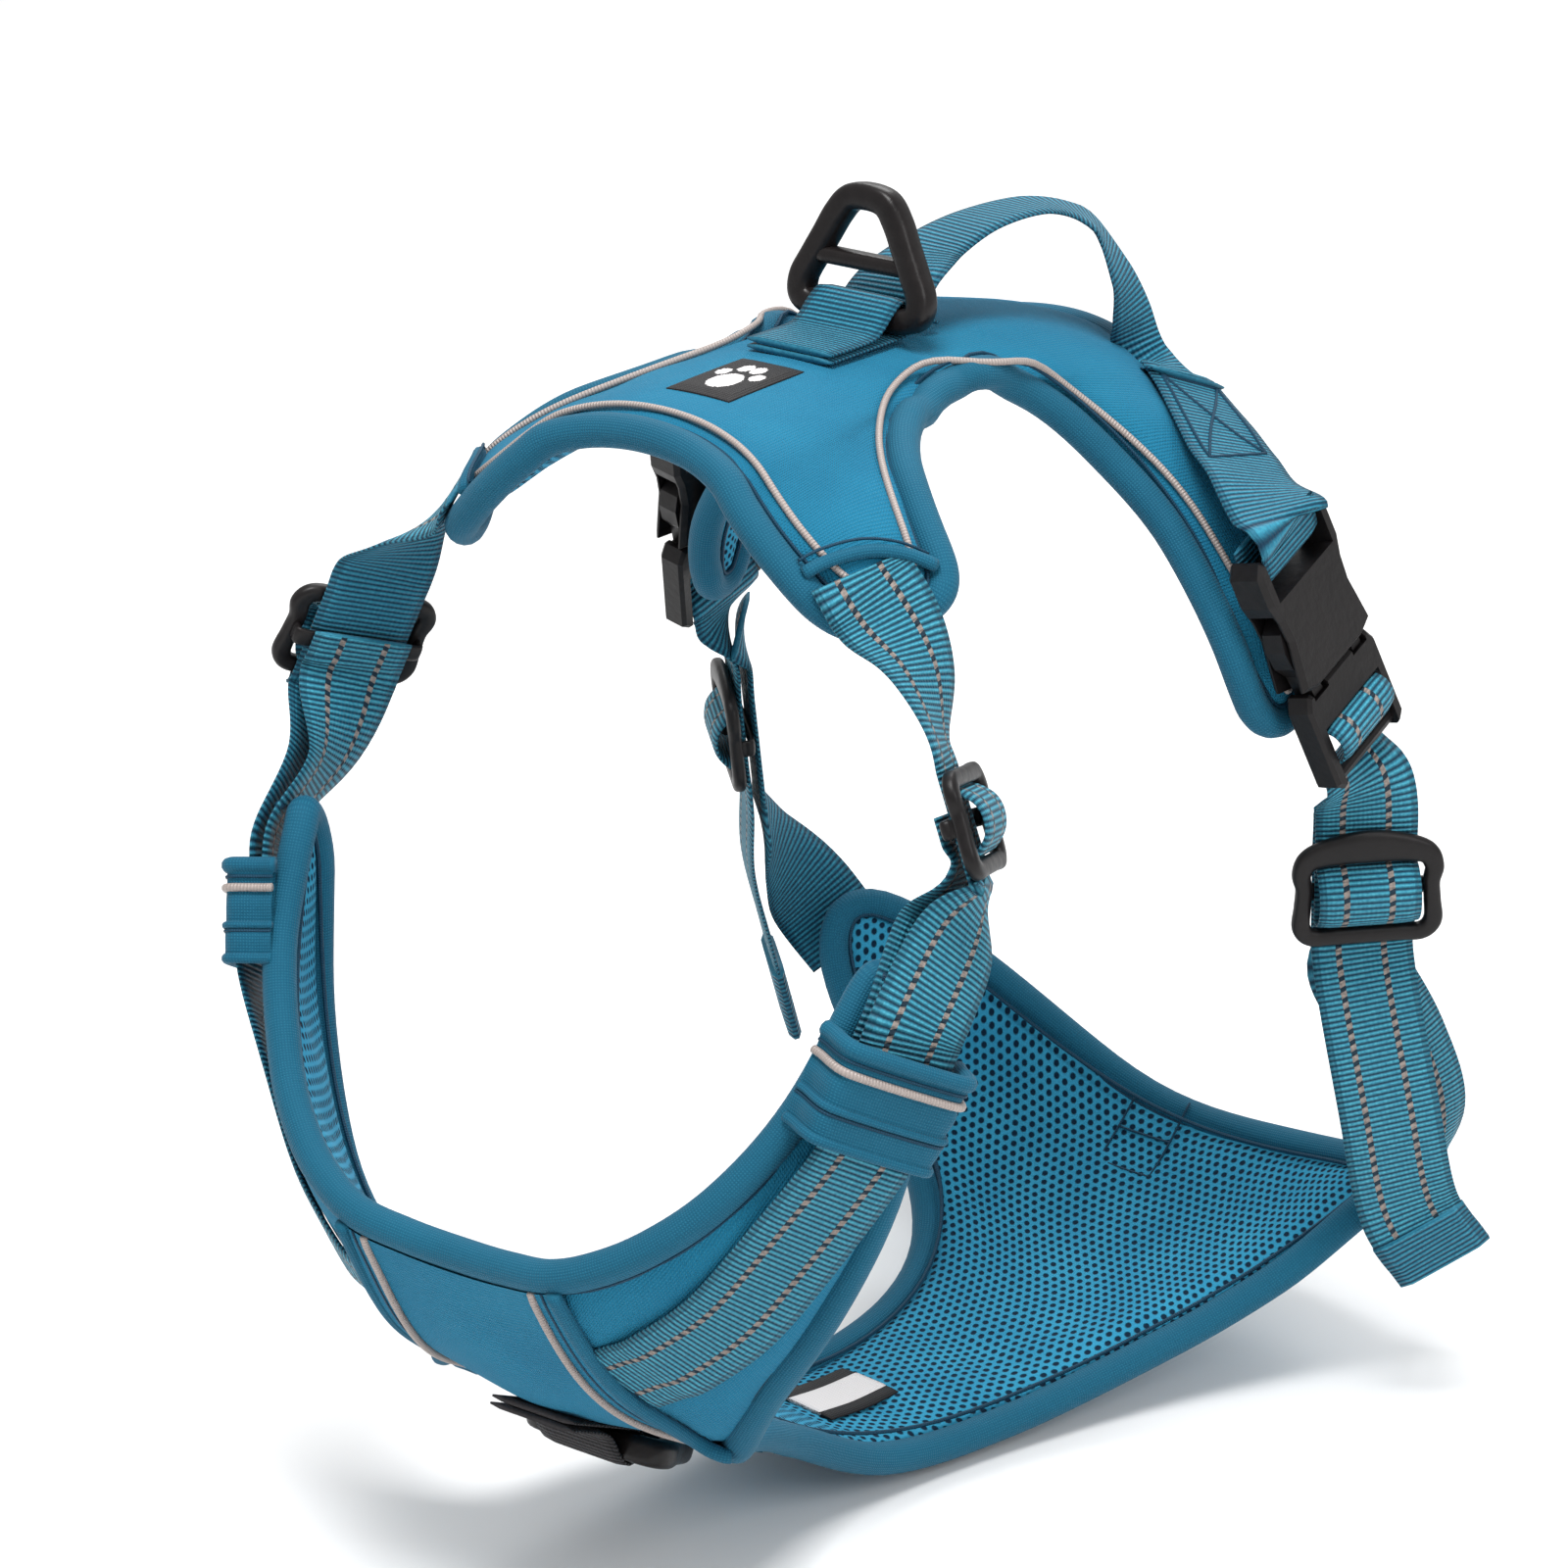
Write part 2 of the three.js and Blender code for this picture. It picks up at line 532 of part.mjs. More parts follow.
const HANDLE_POINTS = [
  [0, 43, 106], [0, 38.5, 109.5], [0, 44, 115], [0, 55, 119], [5, 69, 124.5], [12, 84, 126],
  [20, 93, 122], [27, 99, 111], [32, 103, 98.5], [35, 104, 91.8],
];
const HANDLE_ACROSS = [
  [1, 0, 0], [1, 0, 0], [0.98, -0.1, 0.05], [0.95, -0.2, 0.1], [0.85, -0.45, 0.1], [0.72, -0.68, 0.1],
  [0.6, -0.8, 0.1], [0.5, -0.85, 0], [0.4, -0.9, -0.1], [0.3, -0.9, -0.2],
];
addPart('handle', ribbon(HANDLE_POINTS, HANDLE_ACROSS, { per: 2 }), WEBBING());

// ---- one side's straps, buckle and adjusters ----
const SIDES = [
  {
    name: 'left',
    sign: 1,
    neckSlider: { at: [91, -52, 26], across: [-0.42, 0.87, -0.25] },
    bellyRun: [[100, 121, -82], [101, 130, -104]],
    bellySewn: [[94, 134, -124.5, 8.4], [86, 131, -131.5, 6.2]],
    tailEnd: [[104, 108, -92], [107, 114, -120], [112, 124, -137]],
  },
  {
    name: 'right',
    sign: -1,
    neckSlider: { at: [-91, -49, 30], across: [-0.4, -0.82, 0.38] },
    bellyRun: [[-94.5, 117, -72]],
    bellySewn: [[-84.5, 124, -87, 7.4], [-74, 126, -97, 6.2]],
    tailEnd: [[-99.5, 112, -76], [-99, 119, -98], [-96.5, 126, -124]],
  },
];

function addSide({ name, sign, neckSlider, bellyRun, bellySewn, tailEnd }) {
  const onSide = (p) => [sign * p[0], ...p.slice(1)];
  const turned = (p) => (sign > 0 ? p : [p[0], -p[1], -p[2]]);
  const part = (label) => `${name}_${label}`;
  const stops = (places, across) => places.map((at) => ({ at, across }));

  // buckle
  const top = onSide([86, 77, 60]);
  const bottom = onSide([99.5, 99, 0]);
  const buckle = frameAt(mix(top, bottom, 0.5), [0, sign, 0], top.map((v, i) => v - bottom[i]));
  addPart(part('buckle_socket'), buckleSocket(), HARDWARE(), buckle);
  addPart(part('buckle_plug'), bucklePlug(), HARDWARE(), buckle);
  addPart(part('prong_front'), buckleProng(-1), HARDWARE(), buckle);
  addPart(part('prong_rear'), buckleProng(1), HARDWARE(), buckle);

  // webbing sewn across the back pad's rear arm and folded round the socket's bar
  const turn = BAR_RADIUS + GAP + WEBBING_THICKNESS / 2 + 0.25;
  const round = (bar, places) => places.map(([y, z]) => buckle.world(0, bar + y, z));
  const rearWebbing = [
    ...layOn(BACK, 1, [[40, 102.5, 85, 1.9], [48, 98.5, 80.5, 1.9], [56, 94, 76.5, 2.2]].map(onSide)),
    ...stops([[66, 88.5, 73.5], [76, 82.5, 70]].map(onSide), turned([0.2, 0.95, -0.15])),
    ...stops(round(SOCKET_BAR, [[8, 4.6], [3, turn + 0.4], [0, turn], [-0.72 * turn, 0.72 * turn],
      [-turn, 0], [-0.72 * turn, -0.72 * turn], [0, -turn], [6, 0.3 - turn]]), buckle.x),
  ];
  addPart(part('rear_webbing'), strap(rearWebbing, { per: 2 }), WEBBING());

  // girth adjuster and the two layers of the girth strap that run through it
  const girth = frameAt(onSide([97, 105, -36]), turned([0.72, 0.7, 0.05]), onSide([0.05, -0.1, 1]));
  addPart(part('girth_adjuster'), slideAdjuster(true), HARDWARE(), girth);
  const along = (heights, z) => heights.map((y) => girth.world(0, y, z));
  const halfTurned = frameAt(mix(round(PLUG_BAR, [[0, 0]])[0], girth.world(0, 22, 0), 0.5),
    mix(buckle.x, girth.x, 0.5), girth.y);
  const anchored = [
    ...stops([halfTurned.world(0, 0, -LAYER_STEP - 1.2)], halfTurned.x),
    ...stops(along([22, 10, -6, -18, -25], -LAYER_STEP), girth.x),
    ...stops(bellyRun, turned([0.35, 0.9, 0.2])),
    ...layOn(LOWER, -1, bellySewn),
  ];
  addPart(part('girth_strap'), strap(anchored), WEBBING());
  const tail = [
    ...stops(round(PLUG_BAR, [[-1.5, -turn], [0.72 * turn, -0.72 * turn], [turn, 0],
      [0.72 * turn, 0.72 * turn], [-1.5, turn], [-5, turn - 0.4]]), buckle.x),
    ...stops([halfTurned.world(0, 0, 0.3)], halfTurned.x),
    ...stops([...along([22, 10, -6, -20], 0), ...tailEnd], girth.x),
  ];
  addPart(part('girth_tail'), strap(tail, { per: 2 }), WEBBING());

  // neck strap: out of the back pad, through its adjuster and keeper, and down to the chest
  const up = onSide([-0.41, 0.07, 0.91]);
  const neck = frameAt(neckSlider.at, neckSlider.across, up);
  addPart(part('neck_adjuster'), slideAdjuster(false), HARDWARE(), neck);
  const keeper = frameOn(LOWER, -1, onSide([87, -80, -30]), onSide([0.15, 0.4, 0.9]));
  const channel = block([-15.4, 15.4], [-11, 11], [4.6, 13]);
  const tunnel = block([-14, 14], [-20, 20], [0, 11.8]);
  addPart(part('keeper'), combine(channel, [], [tunnel]), CANVAS(), keeper);
  const inner = 6.4;
  const outer = inner + LAYER_STEP;
  const inKeeper = (heights, z) => stops(heights.map((y) => keeper.world(0, y, z)), keeper.x);
  const inSlider = (heights, z) => stops(heights.map((y) => neck.world(0, y, z)), neck.x);
  const bend = frameAt(onSide([96.5, -61, 3]), turned([0.2, 0.95, -0.23]), onSide([0.05, 0.3, 0.9]));
  const neckStrap = [
    ...layOn(BACK, 1, [[57, -48, 84, 1.9], [62, -48.5, 77, 1.9], [66, -47, 69, 2.4]].map(onSide)),
    ...stops([onSide([75, -47.5, 58])], turned([0.02, 0.97, -0.15])),
    ...inSlider([21, 12, 0, -12, -15.5], 0),
    ...stops([bend.world(0, 0, 0)], bend.x),
    ...inKeeper([20, 10, -2, -14], outer),
    ...layOn(LOWER, -1, [[74, -93, -64, 6.4], [60, -97, -82, 5.9], [47, -101, -95, 5.9]].map(onSide)),
  ];
  addPart(part('neck_strap'), strap(neckStrap), WEBBING());
  const neckReturn = [
    ...inSlider([3, -3, -9], -LAYER_STEP),
    ...stops([bend.world(0, 1, -LAYER_STEP - 2.5)], bend.x),
    ...inKeeper([21, 7, -8], inner),
  ];
  addPart(part('neck_return'), strap(neckReturn), WEBBING());
}
SIDES.forEach(addSide);

export default harness;
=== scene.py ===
"""A no pull dog harness: cloth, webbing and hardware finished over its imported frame.

Lengths are worked in millimetres, and each mesh is made in metres. +X is the dog's left,
+Y runs towards the tail and +Z is up.
"""
import math

import bpy
import numpy as np
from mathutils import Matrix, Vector


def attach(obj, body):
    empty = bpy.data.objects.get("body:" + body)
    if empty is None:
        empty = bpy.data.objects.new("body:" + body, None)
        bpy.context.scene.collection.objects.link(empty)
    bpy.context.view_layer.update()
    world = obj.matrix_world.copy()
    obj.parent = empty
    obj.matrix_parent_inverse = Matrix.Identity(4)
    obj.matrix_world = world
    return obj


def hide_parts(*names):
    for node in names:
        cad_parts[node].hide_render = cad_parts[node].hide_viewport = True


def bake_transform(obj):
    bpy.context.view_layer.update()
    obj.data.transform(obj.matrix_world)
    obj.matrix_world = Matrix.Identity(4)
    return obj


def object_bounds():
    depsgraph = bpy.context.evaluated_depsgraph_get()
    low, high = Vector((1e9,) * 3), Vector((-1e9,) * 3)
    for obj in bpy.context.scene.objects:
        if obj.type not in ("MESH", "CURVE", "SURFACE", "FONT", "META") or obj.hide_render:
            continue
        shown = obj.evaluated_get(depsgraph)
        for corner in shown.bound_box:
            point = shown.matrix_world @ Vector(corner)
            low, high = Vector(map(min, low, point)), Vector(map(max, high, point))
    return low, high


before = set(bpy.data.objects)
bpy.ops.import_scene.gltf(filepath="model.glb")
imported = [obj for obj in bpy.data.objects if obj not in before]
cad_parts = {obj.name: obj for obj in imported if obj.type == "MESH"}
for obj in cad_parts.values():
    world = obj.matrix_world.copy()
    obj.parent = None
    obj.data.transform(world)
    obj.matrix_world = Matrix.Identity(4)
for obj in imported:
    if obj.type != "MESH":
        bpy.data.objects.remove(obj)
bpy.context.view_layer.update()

FINE = 4                    # net steps for each step of the frame's own pads
EDGE_RADIUS = 4.1           # the bound edge round each pad
EDGE_INSET = 4.3            # its centre line, in from the pad's outline
HALF_PAD = 3.85             # half a pad's thickness
WEB_WIDTH = 25.0
WEB_THICKNESS = 1.5
WEB_STEPS = 8               # steps across each face of the webbing
THREAD_RADIUS = 0.4
OUTLINE_PASSES = 22         # smoothing of a pad's outline before it is drawn in
ROUNDING_PASSES = 14        # and after
HELD_BAND = 5.5             # width of a pad's face that its filling doesn't move
FILL_PRESSURE = 3.0
FILL_REACH = 0.9            # how far the filling may move the cloth
FILL_FRAMES = 20
PIPING_INSET = 9.9          # the piping's line, in from the pad's outline
PIPING_GAP = 6.9            # least distance from the piping to the bound edge's centre
PLASTIC_EDGE = 0.0005       # metres: the rounding of the buckles' edges
SIDES = (("left", 1), ("right", -1))


# ---- nets: rows of points across each pad, from the dog's right to its left ----
def mirrored(rows):
    return [[(-x, y, z) for x, y, z in row[:0:-1]] + row for row in rows]


BACK_FRONT = mirrored([
    [(0, -56, 102.5), (15, -56, 101), (27, -59, 97), (34, -61, 91), (42, -62, 83), (49, -61, 75),
     (55, -59, 68), (60, -54, 62)],
    [(0, -15, 103.5), (15, -15, 102.5), (29, -18, 98.5), (36, -28, 94), (45, -38, 87),
     (55, -42, 79), (62, -43, 70), (66, -43, 60)],
    [(0, 22, 103.5), (16, 22, 103), (32, 22, 101), (36, 3, 99), (52, -15, 92), (66, -23, 81),
     (73, -26, 72), (72, -32, 63)],
])
BACK_REAR = mirrored([
    [(0, 22, 103.5), (16, 22, 103), (32, 22, 101), (36, 44, 94), (48, 61, 77), (66, 65, 57),
     (81, 64, 34), (88, 70, 10)],
    [(0, 72, 101), (17, 72, 100), (34, 72, 94.5), (43, 76, 87), (54, 82, 77), (72, 83, 58),
     (85, 81, 34), (90, 82, 7)],
    [(0, 118, 91), (17, 114, 90), (33, 107, 86), (46, 101, 80), (58, 99, 74), (76, 97, 60),
     (87, 96, 35), (91, 93, 11)],
])
CHEST = mirrored([
    [(0, -122, -76), (15, -123, -75), (28, -124, -73), (39, -122, -69), (51, -117, -62),
     (64, -108, -50), (77, -94, -28), (82.5, -78, 4)],
    [(0, -92, -122), (15, -92, -120), (31, -93, -115), (42, -98, -104), (56, -97, -91),
     (70, -93, -72), (84, -82, -43), (87, -71, -2)],
    [(0, -36, -147), (15, -37, -147), (31, -39, -148), (42, -69, -136), (58, -75, -116),
     (74, -76, -91), (87, -66, -58), (90, -61, -9)],
])
BELLY = [
    [(-31, -39, -148), (-15, -37, -147), (0, -36, -147), (15, -37, -147), (31, -39, -148)],
    [(-23, 8, -166), (-11, 5, -167.5), (2, 3, -168), (16, 2, -169), (32, 2, -169)],
    [(-19, 50, -168), (-7, 48, -170), (6, 46, -171), (20, 43, -172), (42, 42, -171)],
    [(-27, 94, -161), (-11, 91, -164), (6, 88, -166), (29, 87, -166), (58, 85, -161)],
    [(-54, 117, -140), (-29, 120, -152), (0, 119, -158), (38, 116, -157), (74, 109, -148)],
    [(-84, 112, -100), (-46, 138, -127), (0, 142, -145), (46, 138, -144), (89, 125, -131)],
    [(-85, 136, -74), (-44, 153, -103), (0, 158, -131), (50, 155, -128), (98, 143, -118)],
]

# ---- webbing: for each run of a strap, the direction across it and then its points ----
RUNS = {
    "ring_tab": [
        ((1, 0, 0), (0, 2, 105.4), (0, 21, 105.4), (0, 29, 105.4), (0, 32.1, 106.5),
        (0, 33.3, 109.6), (0, 32.1, 112.7), (0, 29, 113.9), (0, 25.2, 111.8), (0, 21.4, 108.7),
        (0, 17, 107.2), (0, 2, 107.2)),
    ],
    "chest_ring_tab": [
        ((-1, 0, 0), (0, -95, -127.9), (0, -79.5, -134.8), (0, -72.3, -138.1), (0, -70, -140.5),
        (0, -70.1, -143.7), (0, -72.5, -146), (0, -75.7, -145.9), (0, -78.4, -142.4),
        (0, -80.6, -138.1), (0, -84, -134.9), (0, -95.8, -129.5)),
    ],
    "handle": [
        ((1, 0, 0), (0, 43, 106), (0, 38.5, 109.5)), ((0.98, -0.1, 0.05), (0, 44, 115)),
        ((0.95, -0.2, 0.1), (0, 55, 119)), ((0.85, -0.45, 0.1), (5, 69, 124.5)),
        ((0.72, -0.68, 0.1), (12, 84, 126)), ((0.6, -0.8, 0.1), (20, 93, 122)), ((0.5, -0.85, 0),
        (27, 99, 111)), ((0.3, -0.93, 0), (31, 102.5, 101)), ((0.05, -0.95, 0.25), (34, 104, 93)),
        ((-0.15, -0.9, 0.38), (38.5, 103.4, 88.6)), ((-0.24, -0.89, 0.38), (45, 100.4, 85.2)),
    ],
    "left_rear_webbing": [
        ((0.24, 0.89, -0.38), (40.2, 102.6, 85.4)), ((0.29, 0.89, -0.36), (48.5, 98.7, 81.5)),
        ((0.36, 0.88, -0.3), (56.9, 94, 77.7)), ((0.2, 0.95, -0.15), (66, 88.5, 73.5),
        (76, 82.5, 70)), ((-0.07, 0.94, 0.33), (89.6, 75.5, 65), (89.7, 77.2, 60.2),
        (90, 78.2, 57.4), (89.6, 79, 55), (87.4, 79.3, 53.6), (84.9, 79, 53.9), (83.5, 78.2, 55.9),
        (82.6, 76.2, 61.5)),
    ],
    "left_girth_strap": [
        ((0.35, 0.93, 0.08), (94.1, 101.9, -4.9)), ((0.72, 0.7, 0.03), (95.7, 105.2, -13.8),
        (95.1, 106.4, -25.7), (94.3, 108, -41.6), (93.7, 109.2, -53.5), (93.4, 109.9, -60.5)),
        ((0.35, 0.9, 0.2), (100, 121, -82), (101, 130, -104)), ((-0.5, 0.85, 0.19),
        (97, 137.3, -131.3)), ((-0.49, 0.85, 0.17), (87.9, 132.8, -135.3)),
    ],
    "left_girth_tail": [
        ((0.35, 0.93, 0.08), (98.7, 100.2, -5.3)), ((0.72, 0.7, 0.03), (98.1, 102.8, -14.1),
        (97.5, 104, -26.1), (96.7, 105.6, -42), (96, 107, -55.9), (104, 108, -92),
        (107, 114, -120), (112, 124, -137)),
    ],
    "left_neck_strap": [
        ((0.32, 0.93, 0.19), (53.9, -46.2, 80.6)), ((0.31, 0.91, 0.27), (59, -46.9, 74.9)),
        ((0.31, 0.89, 0.35), (64.2, -46, 68.2)), ((0.02, 0.97, -0.15), (75, -47.5, 58)),
        ((-0.42, 0.87, -0.26), (82.4, -50.5, 45.1), (86.1, -51.2, 36.9), (91, -52, 26),
        (95.9, -52.8, 15.1), (97.4, -53.1, 11.9)), ((0.2, 0.93, -0.32), (96.5, -61, 3)),
        ((0.41, 0.81, -0.43), (97.3, -75.5, -11.7), (95.6, -79.5, -20.8), (93.6, -84.2, -31.6),
        (91.5, -88.9, -42.5)), ((0.43, 0.74, -0.52), (77.9, -96, -65.1)), ((0.43, 0.7, -0.57),
        (64.3, -101.8, -84.7)), ((0.41, 0.66, -0.63), (49.8, -105.5, -97.8)),
    ],
    "left_neck_return": [
        ((-0.42, 0.87, -0.26), (87, -53.4, 27.6), (89.5, -53.9, 22.2), (91.9, -54.3, 16.7)),
        ((0.2, 0.93, -0.32), (90.8, -59.5, 3.9)), ((0.41, 0.81, -0.43), (94.4, -73.6, -10.9),
        (92, -79.1, -23.6), (89.5, -85, -37.1)),
    ],
    "right_neck_strap": [
        ((0.32, -0.93, -0.19), (-54.2, -46.3, 80.1)), ((0.31, -0.91, -0.27), (-59, -46.9, 74.9)),
        ((0.31, -0.89, -0.34), (-64.2, -46, 68.2)), ((0.02, -0.97, 0.15), (-75, -47.5, 58)),
        ((-0.46, -0.85, 0.27), (-82.4, -47.5, 49.1), (-86.1, -48.2, 40.9), (-91, -49, 30),
        (-95.9, -49.8, 19.1), (-97.4, -50.1, 15.9)), ((0.2, -0.93, 0.32), (-96.5, -61, 3)),
        ((0.43, -0.8, 0.43), (-97.2, -75.7, -11.7), (-95.5, -79.6, -20.7), (-93.5, -84.3, -31.6),
        (-91.4, -89, -42.4)), ((0.45, -0.72, 0.53), (-77.8, -96.1, -65)), ((0.45, -0.68, 0.58),
        (-64.1, -101.9, -84.6)), ((0.42, -0.64, 0.64), (-49.5, -105.5, -97.9)),
    ],
    "right_neck_return": [
        ((-0.46, -0.85, 0.27), (-87.1, -50.6, 31.7), (-89.6, -51, 26.2), (-92, -51.4, 20.7)),
        ((0.2, -0.93, 0.32), (-90.8, -59.5, 3.9)), ((0.43, -0.8, 0.43), (-94.4, -73.8, -10.9),
        (-92, -79.2, -23.5), (-89.4, -85.1, -37.1)),
    ],
}
STRAPS = {name: [(*point, *across) for across, *points in runs for point in points]
          for name, runs in RUNS.items()}


def other_side(stops):
    """A left strap's stops, as they are on the right."""
    return [(-x, y, z, a, -b, -c) for x, y, z, a, b, c in stops]


STRAPS["right_rear_webbing"] = [
    (-40.2, 102.6, 85.4, 0.24, -0.89, 0.38), (-48.4, 98.7, 81.4, 0.31, -0.89, 0.32),
    (-56.7, 94.1, 77.7, 0.37, -0.89, 0.28),
] + other_side(STRAPS["left_rear_webbing"][3:])
STRAPS["right_girth_strap"] = other_side(STRAPS["left_girth_strap"][:6]) + [
    (-94.5, 117, -72, 0.35, -0.9, -0.2), (-89.3, 128.2, -89.8, -0.39, -0.78, -0.49),
    (-79.2, 129.9, -100.6, -0.32, -0.84, -0.43),
]
STRAPS["right_girth_tail"] = other_side(STRAPS["left_girth_tail"][:5]) + [
    (-99.5, 112, -76, 0.72, -0.7, -0.03), (-99, 119, -98, 0.72, -0.7, -0.03),
    (-96.5, 126, -124, 0.72, -0.7, -0.03),
]


# ---- curves and surfaces ----
def curve(points, t):
    """Points at t, from 0 to 1, on the smooth curve through points."""
    p = np.asarray(points, float)
    p = np.vstack([2 * p[0] - p[1], p, 2 * p[-1] - p[-2]])
    s = np.clip(np.asarray(t, float), 0, 1) * (len(p) - 3)
    i = np.minimum(s.astype(int), len(p) - 4)
    w = (s - i)[..., None]
    a, b, c, d = p[i], p[i + 1], p[i + 2], p[i + 3]
    return (b + 0.5 * w * (c - a) + w ** 2 * (a - 2.5 * b + 2 * c - 0.5 * d)
            + w ** 3 * (1.5 * (b - c) + 0.5 * (d - a)))


def unit(v):
    return v / np.maximum(np.linalg.norm(v, axis=-1, keepdims=True), 1e-9)


def net(rows, along, across):
    rails = [curve(row, np.linspace(0, 1, along + 1)) for row in rows]
    return np.array([curve([rail[i] for rail in rails], np.linspace(0, 1, across + 1))
                     for i in range(along + 1)])


def lengths(points):
    return np.concatenate([[0], np.cumsum(np.linalg.norm(np.diff(points, axis=0), axis=1))])


def corners(grid):
    """The four corner values of each quad of a grid."""
    return np.stack([grid[:-1, :-1], grid[1:, :-1], grid[1:, 1:], grid[:-1, 1:]], axis=2)


def relaxed(line, passes):
    """A closed line with each point moved halfway to its neighbours' middle, passes times."""
    for _ in range(passes):
        line = line + 0.5 * ((np.roll(line, 1, 0) + np.roll(line, -1, 0)) / 2 - line)
    return line


def averaged(values):
    """Each inner value averaged with its two neighbours."""
    return (values[:-2] + 2 * values[1:-1] + values[2:]) / 4


def distances(points, others):
    """The distance from each of points to each of others."""
    return np.linalg.norm(points[:, None] - others[None], axis=2)


class Pad:
    """A pad's middle surface: two nets welded along part of one row, with its edge drawn in."""

    def __init__(self, front, rear, weld, outward, depth, rear_by_rows):
        self.grids = []
        count = 0
        for grid in (front, rear):
            index = np.arange(count, count + grid.shape[0] * grid.shape[1])
            self.grids.append(index.reshape(grid.shape[:2]))
            count += len(index)
        start, end, ahead = weld
        for i in range(start, end + 1):
            self.grids[1][i, 0] = self.grids[0][i + ahead, -1]
        flat = np.concatenate([front.reshape(-1, 3), rear.reshape(-1, 3)])
        self.quads = np.concatenate([corners(index).reshape(-1, 4) for index in self.grids])
        self.normals = self.find_normals(flat) * outward
        self.outward = outward
        self.net = flat + self.normals * depth
        self.corner_uv = self.lay_out(front, rear, rear_by_rows)
        self.loop = self.find_loop()
        self.points = self.drawn_in()

    def find_normals(self, points):
        a, b, c, d = (points[self.quads[:, k]] for k in range(4))
        each = np.cross(c - a, d - b)
        total = np.zeros_like(points)
        for k in range(4):
            np.add.at(total, self.quads[:, k], each)
        return unit(total)

    def lay_out(self, front, rear, rear_by_rows):
        """Flat coordinates in metres for each corner of each quad."""
        sets = []
        for grid, by_rows in ((front, False), (rear, rear_by_rows)):
            n, m = grid.shape[:2]
            if by_rows:
                u = np.stack([lengths(grid[:, j]) for j in range(m)], axis=1)
                u -= u[n // 2]
                v = np.tile(lengths(grid[n // 2]), (n, 1))
            else:
                v = np.stack([lengths(grid[i]) for i in range(n)])
                v -= v[:, m // 2:m // 2 + 1]
                u = np.tile(lengths(grid[:, m // 2])[:, None], (1, m))
            sets.append(corners(np.stack([u, v], axis=-1) / 1000).reshape(-1, 4, 2))
        return np.concatenate(sets)

    def find_loop(self):
        edges = {}
        for a, b, c, d in self.quads.tolist():
            for edge in ((a, b), (b, c), (c, d), (d, a)):
                edges[edge] = True
        following = {a: b for a, b in edges if (b, a) not in edges}
        loop = [min(following)]
        while following[loop[-1]] != loop[0]:
            loop.append(following[loop[-1]])
        return np.array(loop)

    def edge_at(self, distance):
        """The pad's outline drawn in by distance, its corners rounded."""
        line = relaxed(self.net[self.loop], OUTLINE_PASSES)
        return relaxed(line + self.inward(line) * distance, ROUNDING_PASSES)

    def inward(self, line):
        along = unit(np.roll(line, -1, 0) - np.roll(line, 1, 0))
        way = unit(np.cross(self.normals[self.loop] * self.outward, along))
        for _ in range(3):
            way = unit((np.roll(way, 1, 0) + way + np.roll(way, -1, 0)))
        return way

    def drawn_in(self):
        shift = np.zeros_like(self.net)
        shift[self.loop] = self.edge_at(EDGE_INSET) - self.net[self.loop]
        pairs = np.concatenate([self.quads[:, [k, (k + 1) % 4]] for k in range(4)])
        pairs = np.concatenate([pairs, pairs[:, ::-1]])
        inside = np.ones(len(self.net), bool)
        inside[self.loop] = False
        share = np.zeros(len(self.net))
        np.add.at(share, pairs[:, 0], 1)
        for _ in range(400):
            total = np.zeros_like(shift)
            np.add.at(total, pairs[:, 0], shift[pairs[:, 1]])
            mean = total / np.maximum(share, 1)[:, None]
            shift[inside] = mean[inside]
        shift -= self.normals * np.sum(shift * self.normals, axis=1, keepdims=True)
        return self.net + shift

    def edge_distance(self):
        """How far each point is from the bound edge's centre line."""
        line = self.points[self.loop]
        best = np.full(len(self.points), 1e9)
        for a, b in zip(line, np.roll(line, -1, 0)):
            t = np.clip((self.points - a) @ (b - a) / max((b - a) @ (b - a), 1e-9), 0, 1)
            best = np.minimum(best, np.linalg.norm(self.points - a - t[:, None] * (b - a), axis=1))
        return best

    def seat(self, point, lift):
        """A point on the pad's outer face nearest to point, raised by lift, and its normal."""
        k = int(np.argmin(np.linalg.norm(self.net - point, axis=1)))
        normal = self.normals[k]
        away = np.dot(np.asarray(point, float) - self.net[k], normal)
        return np.asarray(point, float) - normal * (away - HALF_PAD - lift), normal


BACK = Pad(net(BACK_FRONT, 28 * FINE, 4 * FINE), net(BACK_REAR, 28 * FINE, 4 * FINE),
           (10 * FINE, 18 * FINE, 0), 1, -HALF_PAD, False)
LOWER = Pad(net(CHEST, 28 * FINE, 4 * FINE), net(BELLY, 8 * FINE, 12 * FINE),
            (0, 8 * FINE, 10 * FINE), -1, 4 - HALF_PAD, True)


def on_net(rows, u, v):
    """The point at u along and v across a net, both from 0 to 1."""
    return curve([curve(row, [u])[0] for row in rows], [v])[0]


def chest_at(u, v, lift):
    """A point over the chest's outer face, and the direction it faces."""
    step = 1e-3
    along = on_net(CHEST, u + step, v) - on_net(CHEST, u - step, v)
    across = on_net(CHEST, u, min(v + step, 1)) - on_net(CHEST, u, max(v - step, 0))
    out = -unit(np.cross(along, across))
    return on_net(CHEST, u, v) + out * (4 + lift), out


